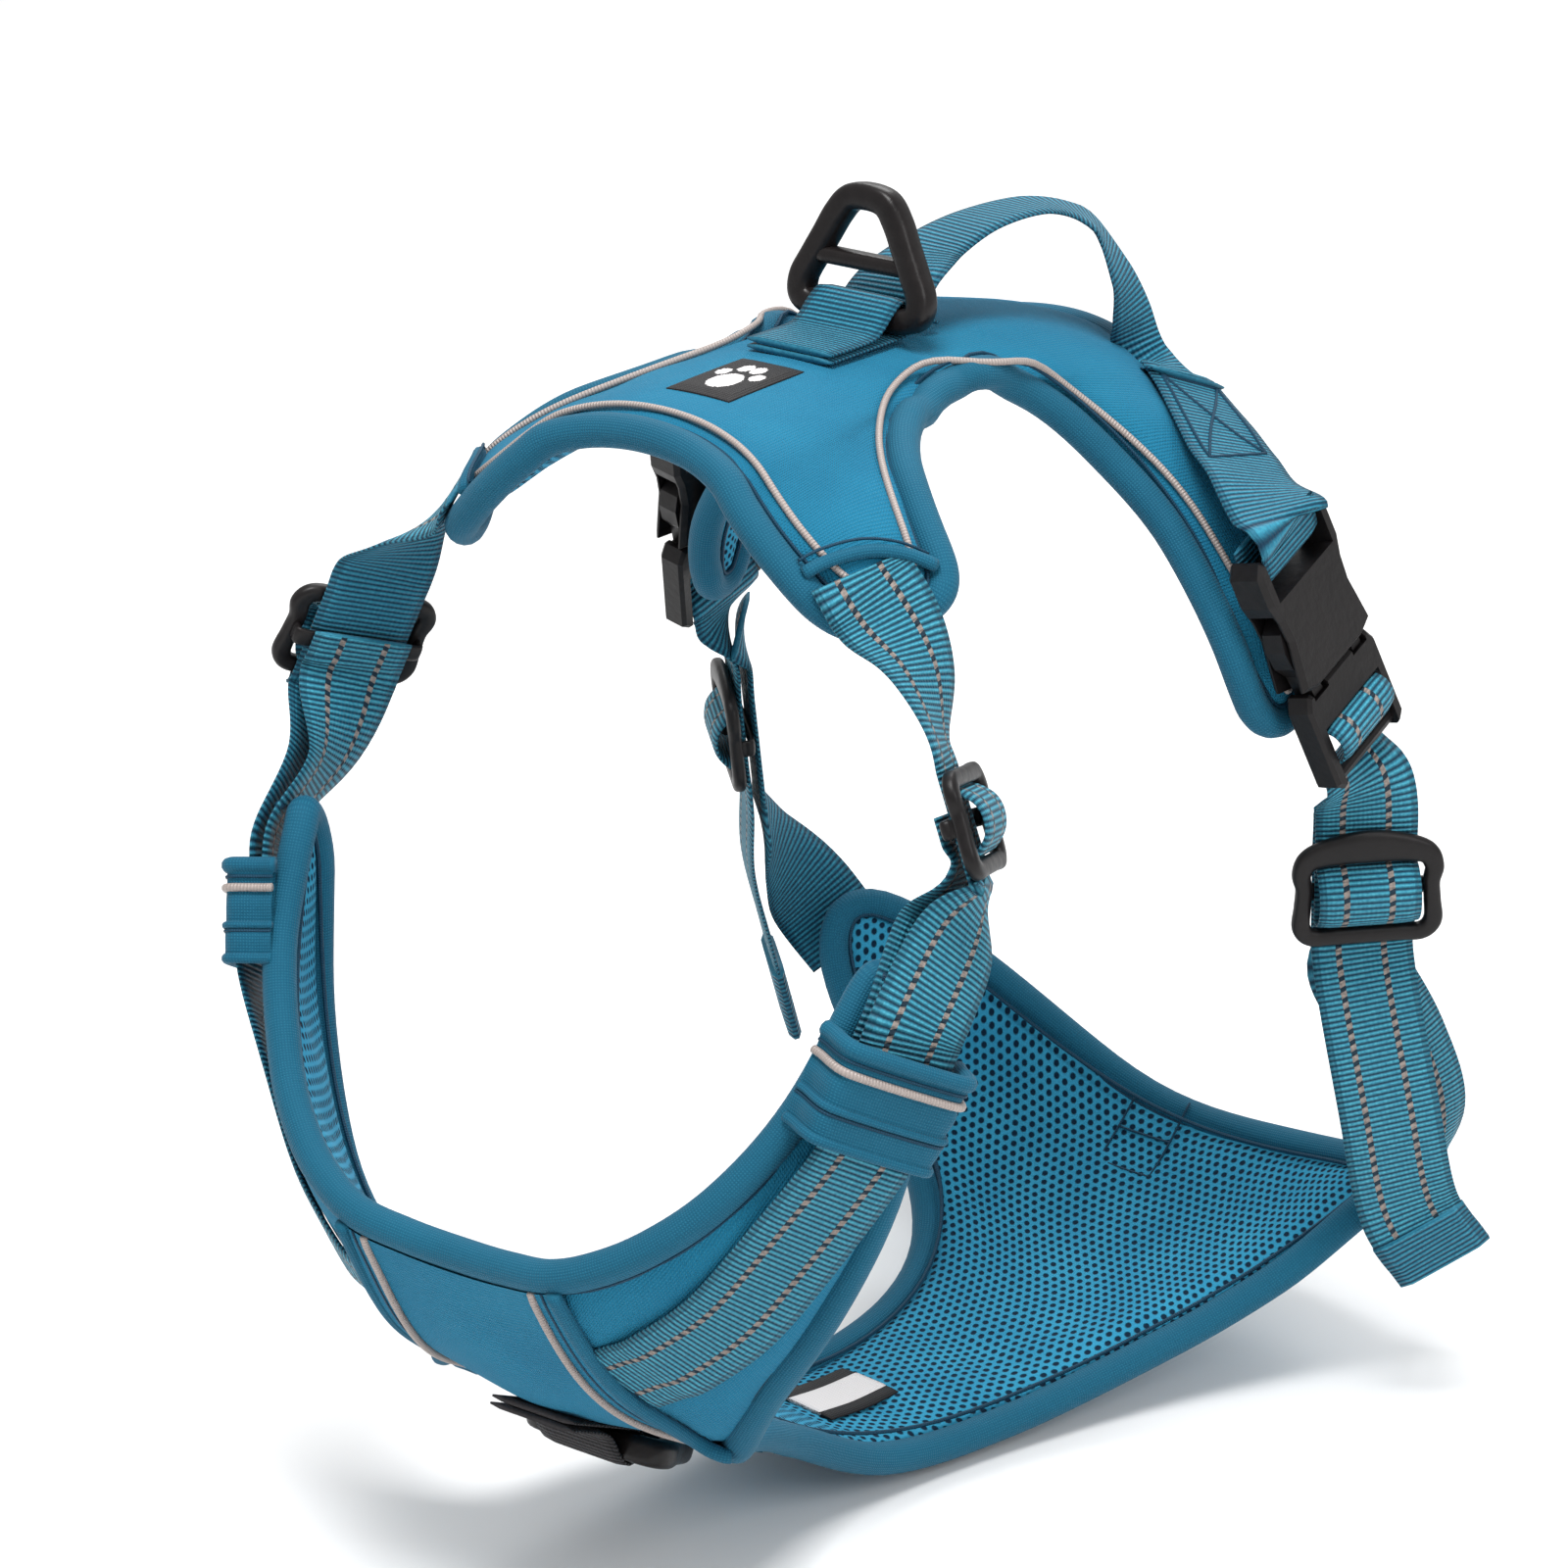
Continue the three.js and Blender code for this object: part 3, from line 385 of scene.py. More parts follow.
# ---- meshes ----
def make(name, vertices, faces, materials, uv, slots=None, body="harness"):
    mesh = bpy.data.meshes.new(name)
    mesh.from_pydata((np.asarray(vertices) / 1000).tolist(), [],
                     [[int(k) for k in face] for face in faces])
    for material in materials:
        mesh.materials.append(material)
    layer = mesh.uv_layers.new(name="flat")
    layer.data.foreach_set("uv", np.asarray(uv, float).ravel())
    if slots is not None:
        mesh.polygons.foreach_set("material_index", np.asarray(slots, int))
    mesh.polygons.foreach_set("use_smooth", np.ones(len(mesh.polygons), bool))
    mesh.update()
    piece = bpy.data.objects.new(name, mesh)
    bpy.context.scene.collection.objects.link(piece)
    if body:
        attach(piece, body)
    return piece


def two_faced(name, vertices, flat, material, flipped):
    """Cloth with two faces, each a grid of points that flat gives laid out, in mm."""
    rows, width = flat.shape[:2]
    faces, uv = [], []
    for layer in (0, 1):
        for i in range(rows - 1):
            for k in range(width - 1):
                a = (layer * rows + i) * width + k
                quad = [a, a + 1, a + width + 1, a + width]
                corner = [flat[i, k], flat[i, k + 1], flat[i + 1, k + 1], flat[i + 1, k]]
                if layer == flipped:
                    quad, corner = quad[::-1], corner[::-1]
                faces.append(quad)
                uv += [p / 1000 for p in corner]
    return make(name, vertices, faces, [material], uv)


def closed_path(half, top, steps):
    """A loop through half, top and half mirrored (x, y, radius), with steps to each stop."""
    path = half + [top] + [(-a, b, r) for a, b, r in half[:0:-1]]
    loop = curve(path[-3:] + path + path[:4], np.linspace(0, 1, steps * (len(path) + 6) + 1))
    return loop[3 * steps:(3 + len(path)) * steps]


def tube(name, line, normals, radius, material, closed=False, sides=10, height=None, power=1.0,
         body="harness"):
    """A round bar along a line; radius may be one number or one for each point.

    height is its half-height where that differs, and a power below 1 squares its section.
    """
    line = np.asarray(line, float)
    n = len(line)
    radius = np.broadcast_to(np.asarray(radius, float), n)
    tall = radius if height is None else np.broadcast_to(np.asarray(height, float), n)
    if closed:
        along = unit(np.roll(line, -1, 0) - np.roll(line, 1, 0))
    else:
        along = unit(np.gradient(line, axis=0))
    side = unit(np.cross(along, normals))
    up = unit(np.cross(side, along))
    vertices = []
    for k in range(sides):
        angle = 2 * math.pi * k / sides
        c, w = (math.copysign(abs(q) ** power, q) for q in (math.cos(angle), math.sin(angle)))
        vertices.append(line + side * (radius * c)[:, None] + up * (tall * w)[:, None])
    vertices = np.stack(vertices, axis=1).reshape(-1, 3)
    run = np.concatenate([lengths(line), [0]])
    run[n] = run[n - 1] + np.linalg.norm(line[0] - line[-1])
    faces, uv = [], []
    for i in range(n if closed else n - 1):
        j = (i + 1) % n
        for k in range(sides):
            m = (k + 1) % sides
            faces.append((i * sides + k, i * sides + m, j * sides + m, j * sides + k))
            step = 2 * math.pi * radius[i] / sides / 1000
            low, high = run[i] / 1000, run[i + 1] / 1000
            uv += [(k * step, low), ((k + 1) * step, low), ((k + 1) * step, high), (k * step, high)]
    if not closed:
        for end, order in ((0, range(sides - 1, -1, -1)), (n - 1, range(sides))):
            faces.append([end * sides + k for k in order])
            uv += [(0, 0)] * sides
    return make(name, vertices, faces, [material], uv, body=body)


def ribbon(name, stops, materials, width=WEB_WIDTH, thickness=WEB_THICKNESS, per=8, body="harness",
           start=0.0, fold=None):
    """Flat webbing with rounded selvedges; its second material is its back face.

    fold gives the angle that its two halves are bent up by at each t along it.
    """
    stops = np.asarray(stops, float)
    steps = (len(stops) - 1) * per
    t = np.linspace(start, 1, steps + 1)
    line = curve(stops[:, :3], t)
    ahead = curve(stops[:, :3], np.minimum(t + 1e-3, 1))
    behind = curve(stops[:, :3], np.maximum(t - 1e-3, 0))
    along = unit(ahead - behind)
    wide = curve(stops[:, 3:], t)
    wide = unit(wide - along * np.sum(wide * along, axis=1, keepdims=True))
    normal = np.cross(along, wide)
    lay = np.linspace(-1, 1, WEB_STEPS + 1)
    edge = np.sqrt(np.clip(1 - np.abs(lay) ** 9, 0.12, 1))
    section = [(s * width / 2, e * thickness / 2) for s, e in zip(lay, edge)]
    section += [(s * width / 2, -e * thickness / 2) for s, e in zip(lay[::-1], edge)]
    count = len(section)
    bend = np.zeros(steps + 1) if fold is None else np.interp(t, *fold)
    rows = []
    for u, v in section:
        reach = abs(u) ** 1.2 / (width / 2) ** 0.2
        sideways = u * np.cos(bend) - math.copysign(1, u) * v * np.sin(bend)
        outwards = reach * np.sin(bend) + v * np.cos(bend)
        rows.append(line + wide * sideways[:, None] + normal * outwards[:, None])
    vertices = np.stack(rows, axis=1).reshape(-1, 3)
    run = lengths(line)
    faces, uv, slots = [], [], []
    for i in range(steps):
        for k in range(count):
            m = (k + 1) % count
            faces.append((i * count + k, (i + 1) * count + k, (i + 1) * count + m, i * count + m))
            near, far = section[k][0] / 1000, section[m][0] / 1000
            low, high = run[i] / 1000, run[i + 1] / 1000
            uv += [(near, low), (near, high), (far, high), (far, low)]
            slots.append(1 if WEB_STEPS < k < count - 1 else 0)
    for end, order in ((0, range(count)), (steps, range(count - 1, -1, -1))):
        faces.append([end * count + k for k in order])
        uv += [(0, 0)] * count
        slots.append(1)
    return make(name, vertices, faces, materials, uv, slots, body=body)


# ---- materials ----
class Nodes:
    """A material's node tree, with short calls for the nodes that this scene uses."""

    def __init__(self, name, roughness, specular=0.3, sheen=0.0):
        self.material = bpy.data.materials.new(name)
        self.material.use_nodes = True
        self.tree = self.material.node_tree
        self.shader = self.tree.nodes["Principled BSDF"]
        for key, value in (("Roughness", roughness), ("Specular IOR Level", specular),
                           ("Sheen Weight", sheen), ("Sheen Roughness", 0.5)):
            self.shader.inputs[key].default_value = value

    def add(self, kind, **inputs):
        node = self.tree.nodes.new(kind)
        for key, value in inputs.items():
            self.feed(node.inputs[key.replace("_", " ")], value)
        return node

    def feed(self, socket, value):
        if isinstance(value, bpy.types.NodeSocket):
            self.tree.links.new(value, socket)
        else:
            socket.default_value = value

    def math(self, operation, *values, clamp=False):
        node = self.tree.nodes.new("ShaderNodeMath")
        node.operation = operation
        node.use_clamp = clamp
        for socket, value in zip(node.inputs, values):
            self.feed(socket, value)
        return node.outputs[0]

    def times(self, a, b, clamp=False):
        return self.math("MULTIPLY", a, b, clamp=clamp)

    def plus(self, a, b):
        return self.math("ADD", a, b)

    def minus(self, a, b):
        return self.math("SUBTRACT", a, b)

    def uv(self):
        node = self.tree.nodes.new("ShaderNodeSeparateXYZ")
        source = self.tree.nodes.new("ShaderNodeUVMap")
        source.uv_map = "flat"
        self.feed(node.inputs[0], source.outputs[0])
        return node.outputs[0], node.outputs[1]

    def place(self):
        return self.tree.nodes.new("ShaderNodeTexCoord").outputs["Object"]

    def ripple(self, value, pitch, phase=0.0):
        """0 to 1 and back over each pitch of value, both in metres."""
        wave = self.math("SINE", self.math("MULTIPLY_ADD", value, 2 * math.pi / pitch, phase))
        return self.math("MULTIPLY_ADD", wave, 0.5, 0.5)

    def noise(self, scale, detail=2.0):
        node = self.add("ShaderNodeTexNoise", Vector=self.place(), Scale=scale, Detail=detail)
        return node.outputs["Fac"]

    def mix(self, factor, a, b):
        node = self.tree.nodes.new("ShaderNodeMix")
        node.data_type = "RGBA"
        self.feed(node.inputs[0], factor)
        self.feed(node.inputs[6], a)
        self.feed(node.inputs[7], b)
        return node.outputs[2]

    def finish(self, color, height=None, depth=0.0003, roughness=None):
        self.feed(self.shader.inputs["Base Color"], color)
        if height is not None:
            bump = self.add("ShaderNodeBump", Height=height, Distance=depth, Strength=1.0)
            self.feed(self.shader.inputs["Normal"], bump.outputs[0])
        if roughness is not None:
            self.feed(self.shader.inputs["Roughness"], roughness)
        return self.material


def srgb(r, g, b):
    def linear(c):
        c /= 255
        return c / 12.92 if c <= 0.04045 else ((c + 0.055) / 1.055) ** 2.4
    return (linear(r), linear(g), linear(b), 1.0)


def dyed(r, g, b):
    """A blue cloth's colour as it looks lit, brought down to what the studio's light needs."""
    red, green, blue, alpha = srgb(r, g, b)
    return (red * 0.34, green * 0.58, blue * 0.58, alpha)


def oxford():
    n = Nodes("oxford_cloth", 0.78, 0.12, sheen=0.04)
    u, v = n.uv()
    weave = n.times(n.ripple(u, 0.0009), n.ripple(v, 0.0009))
    blotch = n.noise(38.0, 4.0)
    base = n.mix(blotch, dyed(28, 119, 162), dyed(54, 155, 196))
    color = n.mix(n.times(weave, 0.45), base, dyed(92, 176, 208))
    height = n.plus(n.times(weave, 0.5), n.times(n.noise(900.0), 0.5))
    return n.finish(color, height, 0.00045)


def spacer_mesh():
    n = Nodes("spacer_mesh", 0.85, 0.1, sheen=0.03)
    u, v = n.uv()
    pitch = 0.0030
    rows = pitch * 0.866
    lattice = []
    for du, dv in ((0.0, 0.0), (0.5, 1.0)):
        a = n.minus(n.math("FRACT", n.plus(n.times(u, 1 / pitch), du)), 0.5)
        b = n.minus(n.math("FRACT", n.plus(n.times(v, 0.5 / rows), dv / 2)), 0.5)
        b = n.times(b, 1.732)
        lattice.append(n.math("SQRT", n.plus(n.times(a, a), n.times(b, b))))
    near = n.math("MINIMUM", lattice[0], lattice[1])
    hole = n.times(n.minus(0.33, near), 9.0, True)
    yarn = n.mix(n.noise(60.0, 3.0), dyed(62, 156, 202), dyed(100, 198, 240))
    # the holes take a near-black blue: painted shade down the mesh's openings
    color = n.mix(hole, yarn, dyed(14, 46, 72))
    height = n.minus(n.times(n.noise(1400.0), 0.25), hole)
    return n.finish(color, height, 0.0006)


def edge_cloth():
    n = Nodes("bound_edge_cloth", 0.66, 0.15, sheen=0.05)
    u, v = n.uv()
    knit = n.times(n.ripple(u, 0.0007), n.ripple(v, 0.0007, 1.0))
    base = n.mix(n.noise(26.0, 4.0), dyed(21, 94, 126), dyed(40, 122, 157))
    color = n.mix(n.times(knit, 0.3), base, dyed(90, 180, 210))
    height = n.plus(n.times(knit, 0.35), n.times(n.noise(170.0, 3.0), 0.65))
    return n.finish(color, height, 0.0004)


def ribbed(name, dark, mid, light, dashed):
    n = Nodes(name, 0.55, 0.2, sheen=0.04)
    u, v = n.uv()
    rib = n.ripple(v, 0.00135)
    warp = n.ripple(u, 0.0011)
    fuzz = n.noise(1100.0, 2.0)
    edge = n.math("GREATER_THAN", n.math("ABSOLUTE", u), 0.0108)
    base = n.mix(rib, dark, mid)
    base = n.mix(n.times(n.times(rib, fuzz), 1.3, True), base, light)
    base = n.mix(n.times(edge, 0.35), base, dark)
    height = n.plus(rib, n.times(warp, 0.25))
    if dashed:
        left = n.math("ABSOLUTE", n.plus(u, 0.0060))
        right = n.math("ABSOLUTE", n.minus(u, 0.0052))
        line = n.math("LESS_THAN", n.math("MINIMUM", left, right), 0.00075)
        slant = n.plus(v, n.times(u, 0.35))
        dash = n.math("GREATER_THAN", n.ripple(slant, 0.0027), 0.42)
        thread = n.times(line, dash)
        base = n.mix(thread, base, n.mix(fuzz, srgb(96, 88, 86), srgb(172, 160, 152)))
        base = n.mix(n.times(line, n.minus(1.0, dash)), base, srgb(20, 42, 56))
        height = n.plus(height, n.times(thread, 0.6))
    return n.finish(base, height, 0.0005)


def piping():
    n = Nodes("silver_piping", 0.38, 0.6)
    u, v = n.uv()
    weave = n.ripple(v, 0.0008)
    color = n.mix(n.times(weave, 0.4), srgb(168, 156, 150), srgb(120, 110, 108))
    return n.finish(color, weave, 0.00015)


def moulded(name, dark, light, gloss):
    n = Nodes(name, gloss, 0.25)
    grain = n.noise(420.0, 5.0)
    color = n.mix(n.noise(45.0, 3.0), dark, light)
    # painted sheen: where the grain runs high, the colour is mixed a little towards a warm brown
    # highlight
    painted_sheen = n.times(n.minus(grain, 0.3), 0.5, True)
    return n.finish(n.mix(n.times(painted_sheen, 0.25), color, srgb(62, 54, 52)), grain, 0.00012,
                    n.plus(n.times(grain, 0.2), gloss - 0.1))


def plain(name, dark, light, roughness, pitch):
    n = Nodes(name, roughness, 0.3)
    u, v = n.uv()
    weave = n.times(n.ripple(u, pitch), n.ripple(v, pitch))
    return n.finish(n.mix(weave, dark, light), weave, 0.00015)


OXFORD = oxford()
SPACER = spacer_mesh()
EDGE = edge_cloth()
WEB = ribbed("dashed_webbing", dyed(8, 62, 88), dyed(46, 144, 186), dyed(128, 214, 240), True)
WEB_BACK = ribbed("webbing_back", dyed(10, 62, 90), dyed(42, 132, 172), dyed(96, 186, 216), False)
BLACK_WEB = ribbed("black_webbing", srgb(12, 12, 14), srgb(34, 32, 35), srgb(70, 66, 68), False)
SILVER = piping()
PLASTIC = moulded("moulded_plastic", srgb(8, 7, 8), srgb(22, 19, 20), 0.42)
METAL = moulded("coated_ring", srgb(12, 10, 11), srgb(30, 26, 26), 0.32)
THREAD = plain("seam_thread", dyed(12, 66, 94), dyed(26, 96, 128), 0.6, 0.0006)
PATCH_CLOTH = plain("patch_cloth", srgb(16, 15, 17), srgb(34, 32, 34), 0.6, 0.0007)
WHITE = plain("woven_white", srgb(214, 210, 210), srgb(240, 238, 238), 0.7, 0.0006)


# ---- pads ----
def puffed(piece, held):
    """The cloth pushed out by its filling, held down where held says."""
    group = piece.vertex_groups.new(name="held")
    group.add([int(k) for k in np.flatnonzero(held)], 1.0, "REPLACE")
    cloth = piece.modifiers.new("filling", "CLOTH")
    cloth.settings.use_pressure = True
    cloth.settings.uniform_pressure_force = FILL_PRESSURE
    cloth.settings.vertex_group_mass = "held"
    cloth.settings.effector_weights.gravity = 0
    cloth.point_cache.frame_end = FILL_FRAMES
    before = np.array([v.co for v in piece.data.vertices])
    for number in range(1, FILL_FRAMES + 1):
        bpy.context.scene.frame_set(number)
    soft = piece.evaluated_get(bpy.context.evaluated_depsgraph_get())
    after = np.array([v.co for v in soft.data.vertices])
    move = after - before
    size = np.linalg.norm(move, axis=1, keepdims=True)
    after = before + move * np.minimum(1, FILL_REACH / 1000 / np.maximum(size, 1e-9))
    piece.modifiers.remove(cloth)
    piece.vertex_groups.remove(group)
    bpy.context.scene.frame_set(1)
    piece.data.vertices.foreach_set("co", after.ravel())
    piece.data.update()


POCKETS = {"back_pad": [(55, -46, 82), (-55, -46, 82)], "chest_pad": []}


def crown(far, rise):
    """How far a pad's face stands off its middle, far mm in from the bound edge's centre."""
    return HALF_PAD * (1 - np.exp(-(far / 4.6) ** 2)) + rise * (1 - np.exp(-(far / 16) ** 2))


def shell(name, pad, side, material, rise, replaced, pockets=()):
    """A pad's outer or inner face: crowned over its filling and tucked into the bound edge."""
    far = pad.edge_distance()
    swell = crown(far, rise)
    wrinkle = 0.22 * np.sin(pad.points[:, 0] * 0.23 + pad.points[:, 2] * 0.11) * np.sin(
        pad.points[:, 1] * 0.19 + 1.3)
    for place in pockets:
        away = np.linalg.norm(pad.points - place, axis=1)
        swell = swell + 1.7 * np.exp(-(away / 12) ** 2) * np.clip((far - 3) / 5, 0, 1)
    outer = pad.points + pad.normals * side * (swell + wrinkle * (far > 3))[:, None]
    used = np.unique(pad.quads)
    place = np.full(len(pad.points), -1)
    place[used] = np.arange(len(used))
    quads = place[pad.quads]
    uv = pad.corner_uv
    if side * pad.outward < 0:
        quads, uv = quads[:, ::-1], uv[:, ::-1]
    piece = make(name, outer[used], quads, [material], uv)
    puffed(piece, far[used] < HELD_BAND)
    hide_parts(*replaced)


def piped_stretches(pad, pick, rise):
    """The piping's lines along a pad's edge where pick says so, laid on the pad's face."""
    line = pad.edge_at(PIPING_INSET)
    ok = np.array([pick(p) for p in line])
    start = int(np.argmin(ok)) if not ok.all() else 0
    runs, run = [], []
    for k in np.roll(np.arange(len(line)), -start):
        if ok[k]:
            run.append(k)
        elif run:
            runs.append(run)
            run = []
    if run:
        runs.append(run)
    centre = pad.points[pad.loop]
    stretches = []
    for r in runs:
        path = line[r]
        if len(r) < 9 or lengths(path)[-1] < 30:
            continue
        for _ in range(60):
            path[1:-1] = averaged(path)
            gap = distances(path, centre)
            away = path - centre[gap.argmin(axis=1)]
            path += unit(away) * np.maximum(0, PIPING_GAP - gap.min(axis=1)[:, None])
        near = distances(path, pad.net).argmin(axis=1)
        out = pad.normals[near]
        path = path - out * np.sum((path - pad.net[near]) * out, axis=1, keepdims=True)
        far = distances(path, centre).min(axis=1)
        height = crown(far, rise) + 0.7 + 0.5 * np.clip((far - HELD_BAND) / 5, 0, 1)
        for _ in range(8):
            path[1:-1] = averaged(path)
            out[1:-1] = unit(averaged(out))
            height[1:-1] = averaged(height)
        stretches.append((path + out * height[:, None], out))
    return stretches


def pad_pieces(prefix, pad, rises, piped):
    shell(prefix + "_outer_cloth", pad, 1, OXFORD, rises[0], [prefix + "_cover", prefix + "_foam"],
          POCKETS[prefix])
    shell(prefix + "_mesh_lining", pad, -1, SPACER, rises[1], [prefix + "_lining"])
    normals = pad.normals[pad.loop]
    piece = tube(prefix + "_bound_edge", pad.points[pad.loop], normals, EDGE_RADIUS, EDGE,
                 closed=True, sides=16)
    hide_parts(prefix + "_binding")
    seam = pad.edge_at(EDGE_INSET + EDGE_RADIUS - 0.1)
    for label, out in (("outer", normals), ("inner", -normals)):
        tube(f"{prefix}_edge_seam_{label}", seam + out * 2.4, out, 0.5, THREAD, closed=True,
             sides=6)
    for k, (line, out) in enumerate(piped_stretches(pad, piped, rises[0])):
        tube(f"{prefix}_piping_{k}", line, out, 0.85, SILVER, sides=8)


pad_pieces("back_pad", BACK, (0.7, 0.3), lambda p: not (p[1] > 90 and abs(p[0]) < 84))
pad_pieces("chest_pad", LOWER, (0.5, 0.4), lambda p: False)


# ---- webbing ----
def web(name, body="harness", materials=(WEB, WEB_BACK), stops=None, **options):
    piece = ribbon(name + "_woven", STRAPS[name] if stops is None else stops, list(materials),
                   body=body, **options)
    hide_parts(name)


web("ring_tab", materials=(WEB_BACK, WEB_BACK))
web("chest_ring_tab", materials=(BLACK_WEB, BLACK_WEB))
web("handle", materials=(WEB_BACK, WEB_BACK),
    fold=((0, 0.55, 0.72, 0.86, 1), (0, 0, 0.5, 1.1, 0)))

# each buckle's middle, and the directions across and along it
BUCKLES = {
    "left": ((92.8, 88, 30), (-0.074, 0.942, 0.329), (-0.207, -0.337, 0.919)),
    "right": ((-92.7, 88, 30), (-0.074, -0.942, -0.329), (0.207, -0.337, 0.919)),
}
# the tail's loop through the plug, along the buckle and out from it
LADDER = [(-16.4, -2.8), (-15.6, 1.2), (-17.4, 4.6), (-20.6, 5.6), (-23.8, 4.4), (-25.3, 1.2),
          (-26.1, -1.8), (-28.6, -3.3), (-31.6, -3.2)]
for side, sign in SIDES:
    web(side + "_rear_webbing", materials=(WEB_BACK, WEB_BACK))
    route = STRAPS[side + "_neck_strap"]
    under = [(*LOWER.seat((sign * x, y, z), 0.9)[0], *route[-1][3:])
             for x, y, z in ((43, -107, -103), (37, -109, -108))]
    web(side + "_neck_strap", start=0.04, stops=route + under)
    origin, x, y = (np.array(v) for v in BUCKLES[side])
    z = np.cross(x, y)
    ladder = [(*(origin + y * a + z * b), *x) for a, b in LADDER]
    web(side + "_girth_tail", body=side + "_plug", stops=ladder + STRAPS[side + "_girth_tail"],
        per=10)
    web(side + "_neck_return", body=None, materials=(WEB, WEB))
    fold = curve(STRAPS[side + "_neck_return"], [0.62])[0]
    wide = unit(fold[3:])
    across = np.linspace(-11.5, 11.5, 9)[:, None]
    tube(side + "_neck_return_seam", fold[:3] + wide * across,
         np.tile(np.cross(wide, (0, 0, 1.0)), (9, 1)), 1.05, THREAD, sides=8)
    web(side + "_girth_strap", body=None, start=0.03)

# the straps that cross a joint belong to neither body: their placing is baked into their meshes
for side, sign in SIDES:
    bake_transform(bpy.data.objects[side + "_girth_strap_woven"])
    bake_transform(bpy.data.objects[side + "_neck_return_woven"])


# ---- hardware: the frame's own solids, their edges softened, and rounder rings ----
def local(origin, across, up):
    """A part's own frame: a function from its x, y, z to a place, and its three directions."""
    y = unit(np.asarray(up, float))
    x = np.asarray(across, float)
    x = unit(x - y * (x @ y))
    z = np.cross(x, y)
    return lambda p: np.asarray(origin, float) + p[0] * x + p[1] * y + p[2] * z, x, y, z


def soften(node):
    """One of the frame's own buckle solids in moulded plastic, its edges rounded."""
    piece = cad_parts[node]
    for slot in piece.material_slots:
        slot.material = PLASTIC
    bevel = piece.modifiers.new("edges", "BEVEL")
    bevel.limit_method = "ANGLE"
    bevel.angle_limit = math.radians(28)
    bevel.width = PLASTIC_EDGE
    bevel.segments = 3


# each ring's pivot, the directions along its bar and up it, and its height
RINGS = {"leash_ring": ((0, 29, 109.6), (1, 0, 0), (0, 0.14, 0.99), 32),
         "chest_ring": ((0, -74, -142), (-1, 0, 0), (0, 0.91, -0.41), 34)}


def round_ring(name, origin, across, up, height):
    """A leash ring: a rounded triangle of flat-faced bar with a bar across it."""
    at, _, _, z = local(origin, across, up)
    half = [(0, 0, 3.0), (8, 0, 3.0), (13.4, 0, 3.1), (17, 1.9, 3.2), (17.2, 6.2, 3.2),
            (14.6, 11.4, 3.2), (11.6, 17, 3.2), (8.6, height - 9.5, 3.3), (5.2, height - 5.6, 3.3)]
    loop = closed_path(half, (0, height - 4.6, 3.3), 20)
    line = [at((a, b, 0)) for a, b, _ in loop]
    frame_bar = tube(name + "_loop", line, np.tile(z, (len(line), 1)), loop[:, 2], METAL,
                     closed=True, sides=24, height=3.4, power=0.62, body=name)
    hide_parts(name)
    bar = [at((a, 12.1, 0)) for a in np.linspace(-13.6, 13.6, 9)]
    tube(name + "_cross_bar", bar, np.tile(z, (9, 1)), 2.1, METAL, sides=24, height=3.0,
         power=0.62, body=name)


for ring, facts in RINGS.items():
    round_ring(ring, *facts)
for side, _ in SIDES:
    for part in ("buckle_socket", "buckle_plug", "prong_front", "prong_rear"):
        soften(f"{side}_{part}")


def web_hump(name, body, at, x):
    """The strap's loop over an adjuster's middle bar."""
    path = [(0, 7.6, 0.6), (0, 6.8, 3.4), (0, 3.8, 6.4), (0, 0, 7.3), (0, -3.8, 6.4),
            (0, -6.8, 3.4), (0, -7.6, 0.6)]
    stops = [(*at(p), *x) for p in path]
    ribbon(name, stops, [WEB, WEB_BACK], per=6, body=body)


ADJUSTERS = {
    "left_girth": ((97, 105, -36), (0.715, 0.698, 0.034), (0.05, -0.099, 0.994)),
    "left_neck": ((91, -52, 26), (-0.419, 0.871, -0.256), (-0.41, 0.07, 0.909)),
    "right_girth": ((-97, 105, -36), (0.715, -0.698, -0.034), (-0.05, -0.099, 0.994)),
    "right_neck": ((-91, -49, 30), (-0.46, -0.845, 0.272), (0.41, 0.07, 0.909)),
}


def adjuster(name, at, y, z, crowned):
    """A slide adjuster: a rounded frame in front of the strap and a middle bar behind it."""
    top = 13.4 if crowned else 10.2
    half = [(0, -10.3, 2.1), (8, -10.3, 2.1), (13.6, -10.2, 2.2), (16.2, -7.4, 2.3),
            (16.0, -2, 2.1), (15.7, 3, 2.1), (16.3, 7.2, 2.4)]
    half += [(14.2, 11.0, 2.9), (8, 12.8, 3.7)] if crowned else [(14, 10, 2.2), (8, 10.2, 2.1)]
    loop = closed_path(half, (0, top, 4.2 if crowned else 2.1), 12)
    line = [at((a, b, 2.7)) for a, b, _ in loop]
    piece = tube(name + "_frame", line, np.tile(z, (len(line), 1)), loop[:, 2], PLASTIC,
                 closed=True, sides=20, height=1.75, power=0.7, body=name)
    post = curve([(-15.9, 0, 2.4), (-15.6, 0, 0.2), (-14.4, 0, -1.7), (0, 0, -1.85),
                  (14.4, 0, -1.7), (15.6, 0, 0.2), (15.9, 0, 2.4)], np.linspace(0, 1, 40))
    tube(name + "_middle_bar", [at(p) for p in post], np.tile(y, (40, 1)), 0.8, PLASTIC, sides=14,
         height=2.2, power=0.7, body=name)
    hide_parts(name)


for name, (origin, across, up) in ADJUSTERS.items():
    at, x, y, z = local(origin, across, up)
    adjuster(name + "_adjuster", at, y, z, "girth" in name)
    web_hump(name + "_hump", name + "_adjuster", at, x)

KEEPERS = {
    "left": ((86.1, -79.5, -30), (0.436, 0.793, -0.425), (0.239, 0.354, 0.904)),
    "right": ((-86, -79.4, -30), (0.473, -0.773, 0.422), (-0.242, 0.347, 0.906)),
}


